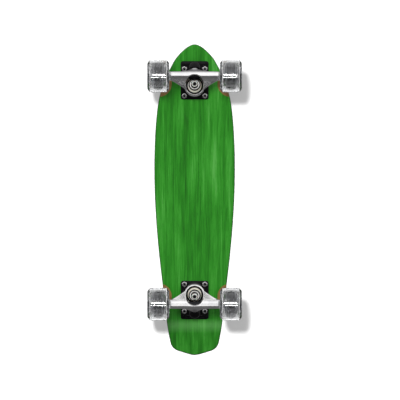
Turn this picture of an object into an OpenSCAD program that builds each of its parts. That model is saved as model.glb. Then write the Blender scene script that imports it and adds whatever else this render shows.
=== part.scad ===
// Mini cruiser skateboard: a seven-ply deck with a kicktail and wheel wells, grip tape,
// two cast trucks that steer on rubbery bushings, and four soft wheels on ball bearings.
//
// Frame: +X towards the nose, +Y to the rider's left, +Z up. The origin is on the ground,
// under the middle of the board. Lengths are in millimetres, angles in degrees.
//
// A truck is drawn in its own frame: the origin is in the middle of its bolt pattern, on the
// deck's underside, with +X towards the middle of the board and +Z up.

/* [Deck] */
// Length from the tail end to the nose, in plan
deck_l = 625; // [590:1:680]
// Width at the widest point
deck_w = 162; // [150:1:185]
// Thickness of all the plies together
deck_t = 11; // [9:0.5:13]
// Radius of the rounded rail, on the top and on the underside
rail_r = 3.5; // [1:0.5:4]
// Flat left between the rear baseplate and the start of the bend
kick_gap = 1; // [0:0.5:6]
// Radius of the kicktail's bend, on the underside
kick_r = 70; // [50:1:110]
// Angle of the kicktail
kick_angle = 20; // [10:1:26]
// Radius of a wheel well's edge on the underside
well_r = 28; // [20:1:32]
// Depth of a wheel well
well_depth = 3.5; // [1:0.5:5]
// How far a wheel well is set from the axle towards the middle of the board
well_in = 14; // [6:1:18]

/* [Grip tape] */
// Thickness of the grip tape
grip_t = 1; // [0.6:0.1:1.5]
// Film of glue under the grip tape
glue_t = 0.15; // [0.1:0.05:0.3]
// Bare rim left round the grip tape, from the edge of the deck
grip_inset = 4; // [4:0.5:6]

/* [Truck] */
// From the nose to the middle of the front bolt pattern
front_setback = 77; // [70:1:100]
// From the tail end to the middle of the rear bolt pattern
rear_setback = 116; // [105:1:140]
// From the deck's underside to the middle of the axle
truck_h = 52; // [50:0.5:56]
// How far the axle lies outward of the bolt pattern's middle
axle_out = 11.6; // [11:0.1:13]
// How far the ring's middle lies inward of the bolt pattern's middle
ring_in = 8.1; // [7:0.1:10]
// From the deck's underside to the ring's middle
ring_drop = 30; // [29:0.5:32]
// Lean of the kingpin from upright, foot towards the axle
kingpin_lean = 9.5; // [6:0.5:12]
// Slope of the steering axis, through the ring and the pivot
steer_slope = 22.5; // [20:0.5:24]

/* [Baseplate] */
// Reach of the baseplate towards the middle of the board
base_in = 34; // [33:0.5:38]
// Reach of the baseplate outward
base_out = 43; // [42:0.5:48]
// Width of the baseplate
base_w = 56; // [54:0.5:62]
// Thickness of the baseplate's flange
base_t = 4.5; // [4:0.5:6]
// Radius of the baseplate's corners
base_corner_r = 4.5; // [2:0.5:6]
// Radius of the bushing seat on the baseplate
base_seat_r = 15; // [14.5:0.5:16]
// Outside radius of the pivot housing
housing_r = 11.2; // [10.5:0.1:12]
// Wall left between the kingpin's head and the bushing seat
head_wall = 4.6; // [4:0.1:5]

/* [Bolts] */
// Hole spacing along the board
bolt_x = 53.98; // [50:0.01:56]
// Hole spacing across the board
bolt_y = 41.28; // [40:0.01:43]
// Diameter of the mounting bolts
bolt_d = 4.8; // [4:0.1:5.2]
// Diameter of a mounting bolt's head
bolt_head_d = 9.2; // [8:0.1:10]
// Width across the flats of a mounting nut
bolt_nut_af = 9.5; // [8:0.1:10]
// Height of a mounting nut
bolt_nut_h = 5.5; // [4:0.5:6.5]
// Bolt left standing past its nut
bolt_over = 1.8; // [0.5:0.1:4]

/* [Kingpin and bushings] */
// Diameter of the kingpin
kingpin_d = 9.52; // [8:0.01:10]
// Radius of the kingpin's round head
kingpin_head_r = 7.8; // [7:0.1:8.5]
// Height of the kingpin's head
kingpin_head_h = 3.8; // [3:0.1:4.2]
// Width across the flats of the kingpin nut
kingpin_nut_af = 14.3; // [12:0.1:15]
// Height of the kingpin nut
kingpin_nut_h = 9.5; // [7:0.5:10]
// Kingpin left standing past its nut
kingpin_over = 1.2; // [0.5:0.1:3]
// Thickness of the ring between its two bushing seats
ring_t = 8; // [6:0.5:9]
// Radius of the barrel bushing on the deck's side
bush_board_r = 12.7; // [11.5:0.1:13]
// Height of the barrel bushing
bush_board_h = 13.5; // [12.5:0.5:14]
// Radius of the cone bushing where it sits on the ring
bush_road_r = 14; // [12:0.1:14.2]
// Radius of the cone bushing at its washer
bush_road_r2 = 10.6; // [9:0.1:11]
// Height of the cone bushing
bush_road_h = 11; // [9:0.5:12]
// Sheet thickness of a cup washer
cup_t = 1.5; // [1:0.1:2]
// Depth of a cup washer's lip
cup_lip = 1.8; // [1:0.1:2.5]

/* [Hanger] */
// Radius of the barrel at its ends
barrel_r = 9.2; // [8.5:0.1:9.8]
// Outside radius of the ring
ring_r = 20; // [19.5:0.1:21]
// Height of the rims that stand round the bushing seats
ring_rim = 2.5; // [1.5:0.1:3]
// Inside radius of the rim on the road side
rim_road_r = 17.3; // [16.5:0.1:17.8]
// Inside radius of the rim on the deck side
rim_board_r = 15.5; // [15:0.1:16]
// Hole round the kingpin, wide enough to steer
ring_hole_r = 7; // [6.5:0.1:7.6]
// Wall left round the axle where the nut's scoop cuts the barrel
axle_wall = 1.2; // [1:0.1:2]
// Radius of the pivot's rounded tip
pivot_r = 5.9; // [5:0.1:6.2]
// Radius of the pivot's shank at the mouth of its cup
shank_r = 7.1; // [6.8:0.1:7.6]
// From the ring's middle to the mouth of the pivot cup
pivot_reach = 37.4; // [36.5:0.1:38]

/* [Axle] */
// Diameter of the axle
axle_d = 8; // [7.8:0.1:8]
// Thickness of a speed washer
speed_t = 1; // [0.5:0.1:1.5]
// Width across the flats of an axle nut
axle_nut_af = 12.7; // [11:0.1:13.5]
// Height of an axle nut
axle_nut_h = 7.6; // [6:0.1:8.5]

/* [Wheels] */
// Diameter of a wheel
wheel_d = 65; // [60:0.5:68]
// Width of a wheel
wheel_w = 45; // [42:0.5:50]
// Clear width between the two wheels of a truck
wheel_gap = 100; // [96:1:110]
// Width of the bevelled lip, along the axle
lip_w = 6; // [3:0.5:8]
// Height of the bevelled lip, from the tread down the side
lip_h = 7; // [4:0.5:9]
// Radius of the lip's two rounded edges
lip_edge_r = 2; // [0.5:0.5:3]
// Radius of the dish in each side of a wheel, at its floor
recess_r = 15; // [14:0.5:17]
// Radius of the core at its crown
core_r = 19.5; // [17:0.5:21]
// Radius of the core's drum at its two rims
core_rim_r = 16; // [15:0.5:17]
// Width of the core's drum
core_w = 19; // [17:1:22]
// Radius of the core's hub, which carries the bearings
core_hub_r = 13.5; // [13:0.5:14.5]
// Number of grooves round the core that key it into the tyre
core_grooves = 3; // [1:1:5]
// Width of a groove
core_groove_w = 1.6; // [1:0.1:2]
// Depth of a groove
core_groove_d = 1.2; // [0.5:0.1:2]

/* [Bearings] */
// Outside diameter of a bearing
bearing_d = 22; // [21.5:0.1:23]
// Width of a bearing
bearing_w = 7; // [6.5:0.1:8]
// Length of the spacer between the two bearings
spacer_l = 10; // [8:0.5:12]
// Diameter of the balls
ball_d = 3.97; // [3.5:0.01:4]
// Radius of the circle that the balls run on
ball_path_r = 7.75; // [7.6:0.05:7.9]
// Number of balls in a bearing
ball_count = 7; // [6:1:8]
// Thickness of a bearing shield
shield_t = 0.4; // [0.2:0.1:0.5]

/* [Clearances] */
// Gap round a ball in its grooves and pockets
ball_gap = 0.1; // [0.08:0.01:0.12]
// Gap round a piece that is pressed, screwed or cast in
seat_gap = 0.02; // [0.01:0.01:0.03]
// Gap round the pivot in its cup
pivot_gap = 0.1; // [0.05:0.01:0.1]
// Gap round a bolt in its hole
bolt_gap = 0.35; // [0.2:0.05:0.5]
// Gap round the hanger's neck where it passes the baseplate
neck_gap = 2; // [1.5:0.1:2.5]
// Gap between a shield and the inner race
shield_gap = 0.3; // [0.2:0.05:0.4]

/* [Hidden] */
ENDS = ["front", "rear"];
WHEELS = ["front_left", "front_right", "rear_left", "rear_right"];
TRUCK_PARTS = ["baseplate", "pivot_cup", "kingpin", "kingpin_nut", "boardside_bushing",
    "roadside_bushing", "boardside_washer", "roadside_washer", "hanger", "axle",
    "mounting_bolts", "mounting_nuts", "speed_washers", "bearing_spacers", "axle_nuts",
    "inner_races"];
WHEEL_PARTS = ["tyre", "core", "outer_races", "bearing_shields", "bearing_balls",
    "bearing_cages"];

$fn = 64;
HULL_FN = 32;
BIG = 400;

// Places along the board and up from the ground
wheel_r = wheel_d / 2;
wheel_y = (wheel_gap + wheel_w) / 2;
deck_z = wheel_r + truck_h;
truck_x = [deck_l / 2 - front_setback, rear_setback - deck_l / 2];
inward = [-1, 1];
kick_x = truck_x[1] - base_out - kick_gap;

// Places along the kingpin, from the ring's middle: minus towards the deck
seat_s = -(ring_t / 2 + bush_board_h + cup_t);
head_s = seat_s - head_wall;
nut_s = ring_t / 2 + bush_road_h + cup_t;
kingpin_end_s = nut_s + kingpin_nut_h + kingpin_over;

// The pivot's ball, along the steering axis, and the cup that it turns in
pivot_tip_s = pivot_reach + 2.8;
cup_depth = 10.4;
cup_r = pivot_r + pivot_gap + 2;

// A mounting bolt's countersunk head: its cone, and a short straight rim
bolt_head_h = (bolt_head_d - bolt_d) / 2 + 0.6;

// Places along the axle, from the wheel's middle
bearing_at = (spacer_l + bearing_w) / 2;
stack_half = spacer_l / 2 + bearing_w;
shoulder_y = wheel_y - stack_half - speed_t;
axle_nut_y = wheel_y + stack_half + speed_t;
axle_over = 0.8;
axle_end_y = axle_nut_y + axle_nut_h + axle_over;
axle_r = axle_d / 2;

// Bearing sections
bearing_r = bearing_d / 2;
groove_r = ball_d / 2 + ball_gap;
inner_race_r = ball_path_r - 1.7;
outer_race_r = ball_path_r + 1.85;

// ---------- Deck ----------

// Half the outline as Bezier control points, three to a curve, from the nose to the tail.
// Each is [distance from the nose or from the tail end, share of the half width].
NOSE_CURVE = [[0, 0], [0, 0.136], [14, 0.333], [30, 0.4815], [52, 0.648], [80, 0.79],
    [106, 0.874], [132, 0.95], [190, 1], [250, 1], [330, 1]];
TAIL_CURVE = [[215, 0.907], [145, 0.7975], [105, 0.747], [55, 0.686], [25, 0.5975],
    [16, 0.574], [10.5, 0.494], [8, 0.383], [6, 0.296], [0, 0.111], [0, 0]];
CURVE_STEPS = [9, 7, 7, 10, 22, 6, 6];

curve_points = concat(
    [for (p = NOSE_CURVE) [deck_l / 2 - p[0], p[1] * deck_w / 2]],
    [for (p = TAIL_CURVE) [p[0] - deck_l / 2, p[1] * deck_w / 2]]);

function bezier(p, t) =
    pow(1 - t, 3) * p[0] + 3 * pow(1 - t, 2) * t * p[1] + 3 * (1 - t) * t * t * p[2]
    + pow(t, 3) * p[3];
function bezier_slope(p, t) =
    pow(1 - t, 2) * (p[1] - p[0]) + 2 * (1 - t) * t * (p[2] - p[1]) + t * t * (p[3] - p[2]);
function curve(k) = [for (i = [0 : 3]) curve_points[3 * k + i]];
function unit(v) = v / norm(v);

// Stations from the nose to the tail on the +Y side: [point, outward normal]
stations = concat(
    [for (k = [0 : 6]) for (j = [0 : CURVE_STEPS[k] - 1])
        let (c = curve(k), t = j / CURVE_STEPS[k], d = unit(bezier_slope(c, t)))
        [bezier(c, t), [d[1], -d[0]]]],
    [[[-deck_l / 2, 0], [-1, 0]]]);
last = len(stations) - 1;

// The whole outline: down the +Y side, then back up the -Y side
outline = concat(
    stations,
    [for (i = [last - 1 : -1 : 1]) let (s = stations[i])
        [[s[0][0], -s[0][1]], [s[1][0], -s[1][1]]]]);
loop_n = len(outline);

// Rise of the underside, and the slope there, where the tail kicks up
function kick_run(x) = max(0, kick_x - x);
function kick_slope(x) = min(kick_angle, asin(min(1, kick_run(x) / kick_r)));
function kick_rise(x) =
    let (b = kick_run(x), arc = kick_r * sin(kick_angle))
    b < arc ? kick_r * (1 - cos(kick_slope(x)))
            : kick_r * (1 - cos(kick_angle)) + (b - arc) * tan(kick_angle);

// A point of the deck at an inset from the outline and a height through the thickness
function deck_point(s, inset, h) =
    let (p = s[0] - s[1] * inset)
    [p[0], p[1], kick_rise(p[0]) + h / cos(kick_slope(p[0]))];

// A slab that follows the deck: its rings are [inset, height], from the underside up
module deck_slab(rings) {
    m = len(rings);
    points = [for (r = rings) for (s = outline) deck_point(s, r[0], r[1])];
    function other(j) = (loop_n - j) % loop_n;
    walls = [for (r = [0 : m - 2]) for (i = [0 : loop_n - 1])
        let (a = r * loop_n + i, b = r * loop_n + (i + 1) % loop_n)
        each [[a, b, a + loop_n], [b, b + loop_n, a + loop_n]]];
    top = (m - 1) * loop_n;
    caps = [for (i = [0 : last - 1])
        let (q = [i, i + 1, other(i + 1), other(i)],
             f = i == 0 ? [0, 1, other(1)] : i == last - 1 ? [i, last, other(i)] : q)
        each [[for (j = [len(f) - 1 : -1 : 0]) f[j]], [for (j = f) j + top]]];
    polyhedron(points, concat(walls, caps), convexity = 4);
}

rail = [for (a = [0, 45, 90]) [rail_r * (1 - sin(a)), rail_r * (1 - cos(a))]];
deck_rings = concat(rail, [for (i = [2 : -1 : 0]) [rail[i][0], deck_t - rail[i][1]]]);
grip_rings = [for (h = [0, grip_t]) [grip_inset, deck_t + glue_t + h]];

module deck() {
    color("forestgreen") difference() {
        translate([0, 0, deck_z]) deck_slab(deck_rings);
        for (e = [0, 1]) at_truck(e) {
            bolt_places() {
                translate([0, 0, -1]) cylinder(d = bolt_d + 2 * bolt_gap, h = deck_t + 2);
                translate([0, 0, deck_t - bolt_head_h]) bolt_head(bolt_gap, 1);
            }
            wheel_wells();
        }
    }
}

// Shallow round dishes that clear the wheels when the board leans
module wheel_wells() {
    dish_r = (well_r * well_r + well_depth * well_depth) / (2 * well_depth);
    for (s = [-1, 1])
        translate([well_in - axle_out, s * wheel_y, well_depth - dish_r])
            sphere(r = dish_r, $fn = 128);
}

module grip_tape() {
    color("dimgray") difference() {
        translate([0, 0, deck_z]) deck_slab(grip_rings);
        for (e = [0, 1]) at_truck(e) bolt_places()
            cylinder(d = bolt_head_d + 4 * bolt_gap, h = deck_t + grip_t + 2);
    }
}

// ---------- Places ----------

module at_truck(e) {
    translate([truck_x[e], 0, deck_z]) rotate([0, 0, inward[e] < 0 ? 180 : 0]) children();
}

// +Z runs along the kingpin, away from the deck, from the ring's middle
module on_kingpin() {
    translate([ring_in, 0, -ring_drop]) rotate([0, 180 + kingpin_lean, 0]) children();
}

// +Z runs along the steering axis, up towards the pivot, from the ring's middle
module on_steering() {
    translate([ring_in, 0, -ring_drop]) rotate([0, steer_slope - 90, 0]) children();
}

// +Z runs along the axle, from its middle
module on_axle() {
    translate([-axle_out, 0, -truck_h]) rotate([-90, 0, 0]) children();
}

module bolt_places() {
    for (x = [-1, 1], y = [-1, 1]) translate([x * bolt_x / 2, y * bolt_y / 2, 0]) children();
}

// +Z runs along the axle, outward, from the wheel's middle; side is 1 on the rider's left
module at_wheel(e, side) {
    translate([truck_x[e] - inward[e] * axle_out, side * wheel_y, wheel_r])
        rotate([-90 * side, 0, 0]) children();
}

module both_bearings() {
    for (s = [-1, 1]) translate([0, 0, s * bearing_at]) children();
}

// ---------- Shared shapes ----------

module ring_of(r_in, r_out, h) {
    rotate_extrude() translate([r_in, 0]) square([r_out - r_in, h]);
}

// A lock nut standing on z = 0: a chamfered hexagon, and a rolled collar round its nylon ring
module nut(af, h, screw_r) {
    corner = af / sqrt(3);
    chamfer = corner - af / 2;
    collar_h = h * 0.28;
    hex_h = h - collar_h;
    difference() {
        union() {
            intersection() {
                cylinder(r = corner, h = hex_h, $fn = 6);
                rotate_extrude() polygon([[0, 0], [af / 2, 0], [corner, chamfer / 2],
                    [corner, hex_h - chamfer / 2], [af / 2, hex_h], [0, hex_h]]);
            }
            rotate_extrude() polygon([[0, hex_h / 2], [af * 0.46, hex_h / 2],
                [af * 0.46, h - collar_h / 2], [af * 0.4, h], [0, h]]);
        }
        translate([0, 0, -1]) cylinder(r = screw_r + seat_gap, h = h + 2);
    }
}

// A screw's shank with a chamfered end, from z = 0 up
module shank(r, h) {
    end = r / 5;
    cylinder(r = r, h = h - end);
    translate([0, 0, h - end]) cylinder(r1 = r, r2 = r - end, h = end);
}

// ---------- Truck: pieces fixed to the deck ----------

// Countersunk head, its flat top at bolt_head_h; grown by a gap and raised for a cutter
module bolt_head(gap, rise) {
    r = bolt_head_d / 2 + gap;
    cone_h = (bolt_head_d - bolt_d) / 2;
    cylinder(r1 = bolt_d / 2 + gap, r2 = r, h = cone_h);
    translate([0, 0, cone_h]) cylinder(r = r, h = bolt_head_h - cone_h + rise);
}

module mounting_bolts() {
    socket_r = bolt_d * 0.38;
    below = base_t + bolt_nut_h + bolt_over;
    color("silver") bolt_places() difference() {
        union() {
            mirror([0, 0, 1]) translate([0, 0, -deck_t + bolt_head_h])
                shank(bolt_d / 2, deck_t - bolt_head_h + below);
            translate([0, 0, deck_t - bolt_head_h]) bolt_head(0, 0);
        }
        translate([0, 0, deck_t - bolt_head_h / 2])
            cylinder(r = socket_r, h = bolt_head_h, $fn = 6);
    }
}

module mounting_nuts() {
    color("silver") bolt_places() translate([0, 0, -base_t]) mirror([0, 0, 1])
        nut(bolt_nut_af, bolt_nut_h, bolt_d / 2);
}

module plate_outline(inset) {
    r = base_corner_r - inset / 2;
    x0 = -base_out + inset;
    x1 = base_in - inset;
    w = base_w / 2 - inset;
    for (x = [x0 + r, x1 - r], y = [r - w, w - r]) translate([x, y]) circle(r = r);
    translate([x0 + r, -w]) square([x1 - x0 - 2 * r, 2 * w]);
    translate([x0, r - w]) square([x1 - x0, 2 * (w - r)]);
}

module baseplate() {
    step_h = 1.2;
    step_in = 2.4;
    boss_top = seat_s - 12;
    boss_flare = 4.5;
    dome_s = cup_depth - sqrt(pow(housing_r - 1, 2) - cup_r * cup_r);
    color([0.09, 0.09, 0.1]) difference() {
        union() {
            translate([0, 0, step_h - base_t]) linear_extrude(base_t - step_h)
                plate_outline(0);
            translate([0, 0, -base_t]) linear_extrude(step_h) plate_outline(step_in);
            on_kingpin() translate([0, 0, boss_top])
                cylinder(r1 = base_seat_r + boss_flare, r2 = base_seat_r, h = seat_s - boss_top);
            on_steering() translate([0, 0, pivot_reach]) {
                cylinder(r = housing_r, h = dome_s);
                translate([0, 0, dome_s]) sphere(r = housing_r);
            }
            spine();
            gussets();
        }
        translate([-BIG / 2, -BIG / 2, 0]) cube(BIG);
        on_kingpin() {
            translate([0, 0, head_s - BIG / 4])
                cylinder(r = kingpin_head_r + bolt_gap, h = BIG / 4);
            cylinder(r = kingpin_d / 2 + seat_gap, h = BIG / 4, center = true);
            // The bushing's seat is spot-faced into the spine
            translate([0, 0, seat_s]) cylinder(r = base_seat_r + 0.5, h = ring_drop);
        }
        on_steering() {
            translate([0, 0, pivot_reach]) cylinder(r = cup_r + seat_gap, h = cup_depth);
            translate([0, 0, pivot_reach - BIG / 8]) cylinder(r = shank_r + neck_gap, h = BIG / 8);
        }
        bolt_places() translate([0, 0, -base_t - 1])
            cylinder(d = bolt_d + 2 * bolt_gap, h = base_t + 2);
    }
}

// Ribs that brace the kingpin boss and the pivot housing from both sides
module gussets() {
    rib_t = 4;
    low = 7;
    out = base_out * 0.86;
    foot = base_w / 2 - base_corner_r;
    boss_foot = ring_drop + seat_s - base_t;
    for (rib = [[ring_in, base_seat_r, boss_foot * 0.7], [-out, housing_r * 0.75, low]])
        translate([rib[0], 0, -base_t + 0.5]) rotate([90, 0, 90])
            linear_extrude(rib_t, center = true) polygon([[-foot, 0], [-rib[1], -rib[2]],
                [rib[1], -rib[2]], [foot, 0]]);
}

// The tapered back that joins the kingpin boss to the pivot housing
module spine() {
    hull() {
        translate([ring_in, 0, -base_t - 1]) cylinder(r = base_seat_r * 0.7, h = 3, $fn = HULL_FN);
        on_steering() translate([housing_r * 0.4, 0, pivot_reach + 2.5])
            cylinder(r = housing_r * 0.5, h = 5, $fn = HULL_FN);
    }
}

module pivot_cup() {
    tip = pivot_r + pivot_gap;
    straight = pivot_tip_s - pivot_reach;
    color("gray") on_steering() translate([0, 0, pivot_reach]) difference() {
        cylinder(r = cup_r, h = cup_depth);
        translate([0, 0, -1]) cylinder(r = tip, h = straight + 1);
        translate([0, 0, straight]) sphere(r = tip);
    }
}

module kingpin() {
    socket_r = kingpin_d * 0.3;
    socket_depth = 3;
    color("silver") on_kingpin() difference() {
        translate([0, 0, head_s - kingpin_head_h]) {
            cylinder(r = kingpin_head_r, h = kingpin_head_h);
            shank(kingpin_d / 2, kingpin_end_s - head_s + kingpin_head_h);
        }
        translate([0, 0, kingpin_end_s - socket_depth])
            cylinder(r = socket_r, h = socket_depth + 1, $fn = 6);
    }
}

module kingpin_nut() {
    color("silver") on_kingpin() translate([0, 0, nut_s])
        nut(kingpin_nut_af, kingpin_nut_h, kingpin_d / 2);
}

// A pressed cup: a flat sheet with a lip turned up round the bushing, standing on z = 0
module cup_washer(bush_r) {
    inner = bush_r + 0.25;
    difference() {
        cylinder(r = inner + cup_t * 0.7, h = cup_t + cup_lip);
        translate([0, 0, cup_t]) cylinder(r = inner, h = cup_lip + 1);
        translate([0, 0, -1]) cylinder(r = kingpin_d / 2 + 0.2, h = cup_t + 2);
    }
}

module boardside_washer() {
    color("silver") on_kingpin() translate([0, 0, seat_s]) cup_washer(bush_board_r);
}

module roadside_washer() {
    color("silver") on_kingpin() translate([0, 0, nut_s]) mirror([0, 0, 1])
        cup_washer(bush_road_r2);
}

// The barrel bushing swells a little at its waist
module boardside_bushing() {
    r = bush_board_r;
    h = bush_board_h;
    color("ivory") on_kingpin() translate([0, 0, seat_s + cup_t]) difference() {
        rotate_extrude() polygon([[0, 0], [r - 1.2, 0], [r, 1.2], [r + 0.15, h / 2],
            [r, h - 1.2], [r - 1.2, h], [0, h]]);
        translate([0, 0, -1]) cylinder(r = kingpin_d / 2 + 0.3, h = h + 2);
    }
}

module roadside_bushing() {
    r = bush_road_r;
    r2 = bush_road_r2;
    h = bush_road_h;
    color("ivory") on_kingpin() translate([0, 0, ring_t / 2]) difference() {
        rotate_extrude() polygon([[0, 0], [r - 1, 0], [r, 1], [r - 0.2, 3], [r2, h - 2.2],
            [r2, h - 0.8], [r2 - 0.8, h], [0, h]]);
        translate([0, 0, -1]) cylinder(r = kingpin_d / 2 + 0.3, h = h + 2);
    }
}

// ---------- Truck: pieces that steer ----------

module barrel() {
    half = shoulder_y;
    mid = barrel_r + 0.8;
    nose = axle_r + 3.4;
    profile = [[0, -half], [nose, -half], [nose + 0.8, 0.8 - half], [nose + 1, 6 - half],
        [barrel_r, 14 - half], [mid, 0], [barrel_r, half - 14], [nose + 1, half - 6],
        [nose + 0.8, half - 0.8], [nose, half], [0, half]];
    on_axle() rotate_extrude() polygon(profile);
}

module axle_rod(r, half) {
    on_axle() cylinder(r = r, h = 2 * half, center = true);
}

// A casting lofted across the truck. Each section is [y, middle a, radius a, middle b,
// radius b]: the skin stretched round two discs in the plane at y, as [x, z] middles.
LOFT_SIDES = 20;
function support(n, s) = n * s[1] + s[2] > n * s[3] + s[4] ? s[1] + s[2] * n : s[3] + s[4] * n;
module loft(sections) {
    k = LOFT_SIDES;
    points = [for (s = sections) for (i = [0 : k - 1])
        let (a = (i + 0.5) * 360 / k, p = support([cos(a), sin(a)], s)) [p[0], s[0], p[1]]];
    walls = [for (j = [0 : len(sections) - 2]) for (i = [0 : k - 1])
        let (a = j * k + i, b = j * k + (i + 1) % k) each [[a, b, a + k], [b, b + k, a + k]]];
    end = (len(sections) - 1) * k;
    polyhedron(points, concat(walls, [[for (i = [k - 1 : -1 : 0]) i]],
        [[for (i = [0 : k - 1]) end + i]]), convexity = 4);
}

axle_xz = [-axle_out, -truck_h];
ring_xz = [ring_in, -ring_drop];

// Wings: their inner edge sweeps in a hollow curve from the barrel's ends to the ring's rim
WING_STEPS = 9;
module wings() {
    tip = shoulder_y - 9;
    root = ring_r * 0.86;
    thin = 3.2;
    edge_in = ring_in + ring_r * 0.38 - thin;
    edge = [edge_in, -ring_drop - ring_t / 2 - 1.5];
    function section(y) =
        let (t = max(0, min(1, (tip - abs(y)) / (tip - root))), r = barrel_r - 0.7)
        [y, axle_xz, r, axle_xz + (edge - axle_xz) * pow(t, 1.15), r + (thin - r) * pow(t, 0.7)];
    steps = [for (i = [0 : WING_STEPS]) tip - (tip - root) * i / WING_STEPS];
    loft([for (y = concat([for (v = steps) -v], [for (i = [WING_STEPS : -1 : 0]) steps[i]]))
        section(y)]);
}

// The neck swells out of the middle of the barrel and rises to the pivot's shank
NECK_STEPS = 8;
module neck() {
    half = shoulder_y * 0.46;
    top = ring_xz + (pivot_reach - shank_r - 0.4) * [-cos(steer_slope), sin(steer_slope)];
    function section(y) =
        let (g = (1 + cos(180 * y / half)) / 2, r = barrel_r - 0.3)
        [y, axle_xz, r, axle_xz + (top - axle_xz) * g, r + (shank_r - r) * g];
    loft([for (i = [-NECK_STEPS : NECK_STEPS]) section(half * i / NECK_STEPS)]);
}

module ring_blank() {
    edge = 1.2;
    s = ring_t / 2 + ring_rim;
    on_kingpin() rotate_extrude() polygon([[0, -s], [ring_r - edge, -s], [ring_r, edge - s],
        [ring_r, s - edge], [ring_r - edge, s], [0, s]]);
}

module pivot_nose() {
    on_steering() {
        rotate_extrude() polygon([[0, 20], [shank_r + 1.4, 20], [shank_r, pivot_reach - 1.8],
            [pivot_r, pivot_reach - 0.6], [pivot_r, pivot_tip_s], [0, pivot_tip_s]]);
        translate([0, 0, pivot_tip_s]) sphere(r = pivot_r);
    }
}

module hanger() {
    color("lightgray") difference() {
        union() {
            barrel();
            wings();
            neck();
            ring_blank();
            pivot_nose();
        }
        on_kingpin() {
            cylinder(r = ring_hole_r, h = BIG / 4, center = true);
            mirror([0, 0, 1]) translate([0, 0, ring_t / 2]) cylinder(r = rim_board_r, h = 24);
        }
        difference() {
            on_kingpin() translate([0, 0, ring_t / 2]) cylinder(r = rim_road_r, h = BIG / 4);
            axle_rod(axle_r + axle_wall, BIG / 4);
        }
        axle_rod(axle_r + seat_gap, shoulder_y + 1);
    }
}

module axle() {
    end = 0.8;
    color("silver") on_axle() {
        cylinder(r = axle_r, h = 2 * (axle_end_y - end), center = true);
        for (s = [0, 180]) rotate([s, 0, 0]) translate([0, 0, axle_end_y - end])
            cylinder(r1 = axle_r, r2 = axle_r - end, h = end);
    }
}

module speed_washers() {
    color("silver") on_axle() for (s = [0, 180], z = [shoulder_y, axle_nut_y - speed_t])
        rotate([s, 0, 0]) translate([0, 0, z])
            ring_of(axle_r + seat_gap, inner_race_r, speed_t);
}

module bearing_spacers() {
    color("silver") on_axle() for (s = [-1, 1])
        translate([0, 0, s * wheel_y - spacer_l / 2])
            ring_of(axle_r + seat_gap, inner_race_r - 0.6, spacer_l);
}

module axle_nuts() {
    color("silver") on_axle() for (s = [0, 180]) rotate([s, 0, 0])
        translate([0, 0, axle_nut_y]) nut(axle_nut_af, axle_nut_h, axle_r);
}

module inner_race() {
    difference() {
        translate([0, 0, -bearing_w / 2])
            ring_of(axle_r + seat_gap, inner_race_r, bearing_w);
        rotate_extrude() translate([ball_path_r, 0]) circle(r = groove_r);
    }
}

module inner_races() {
    color("silver") on_axle() for (s = [-1, 1]) translate([0, 0, s * wheel_y])
        both_bearings() inner_race();
}

// ---------- Wheels ----------

// A corner at b, between a and c, rounded off
function rounded(a, b, c, r, n = 5) =
    let (u = unit(a - b), v = unit(c - b), half = acos(u * v) / 2,
         middle = b + unit(u + v) * r / sin(half), from = b + u * r / tan(half) - middle,
         to = b + v * r / tan(half) - middle, first = atan2(from[1], from[0]),
         turn = atan2(from[0] * to[1] - from[1] * to[0], from * to))
    [for (i = [0 : n]) let (t = first + turn * i / n) middle + r * [cos(t), sin(t)]];

function mirrored(points) = [for (i = [len(points) - 1 : -1 : 0]) [points[i][0], -points[i][1]]];

// The tread is flat, the lips are bevelled, and the sides fall in a dish round the nut
module tyre() {
    w = wheel_w / 2;
    r = wheel_r;
    tread = [r, w - lip_w];
    side = [r - lip_h, w];
    fall = [recess_r, stack_half + 0.8];
    half = concat(rounded([r, 0], tread, side, lip_edge_r), rounded(tread, side, fall, lip_edge_r),
        [fall, [recess_r, stack_half]]);
    color([0.75, 0.77, 0.78, 0.6]) difference() {
        rotate_extrude($fn = 96) polygon(concat([[0, -stack_half]], mirrored(half), half,
            [[0, stack_half]]));
        core_blank(seat_gap);
    }
}

// The core's outside: a crowned drum with grooves round it, on a hub as long as the two
// bearings and their spacer; grown by a gap for a cutter
CROWN_STEPS = 8;
function crown_r(z) = core_r - (core_r - core_rim_r) * pow(2 * z / core_w, 2);
module core_blank(gap) {
    w = stack_half + gap;
    rim = core_w / 2;
    hub = core_hub_r + gap;
    crown = [for (i = [-CROWN_STEPS : CROWN_STEPS]) let (t = i / CROWN_STEPS)
        [crown_r(rim * t) + gap, (rim + gap) * t]];
    pitch = core_w / (core_grooves + 1);
    difference() {
        rotate_extrude() polygon(concat([[0, -w], [hub, -w], [hub, -rim - gap]], crown,
            [[hub, rim + gap], [hub, w], [0, w]]));
        for (i = [1 : core_grooves]) translate([0, 0, i * pitch - rim]) difference() {
            cylinder(r = core_r + 1, h = core_groove_w - 2 * gap, center = true);
            cylinder(r = crown_r(i * pitch - rim) - core_groove_d + gap,
                h = core_groove_w + 1, center = true);
        }
    }
}

module core() {
    shoulder_r = bearing_r - 2;
    color([0.35, 0.35, 0.37]) difference() {
        core_blank(0);
        cylinder(r = shoulder_r, h = BIG / 4, center = true);
        for (s = [0, 180]) rotate([s, 0, 0]) translate([0, 0, spacer_l / 2])
            cylinder(r = bearing_r + seat_gap, h = BIG / 8);
    }
}

module outer_races() {
    color("silver") both_bearings() difference() {
        translate([0, 0, -bearing_w / 2]) ring_of(outer_race_r, bearing_r, bearing_w);
        rotate_extrude() translate([ball_path_r, 0]) circle(r = groove_r);
    }
}

module bearing_shields() {
    color("gray") both_bearings() for (s = [0, 180]) rotate([s, 0, 0])
        translate([0, 0, bearing_w / 2 - 2 * shield_t])
            ring_of(inner_race_r + shield_gap, outer_race_r - seat_gap, shield_t);
}

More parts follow.
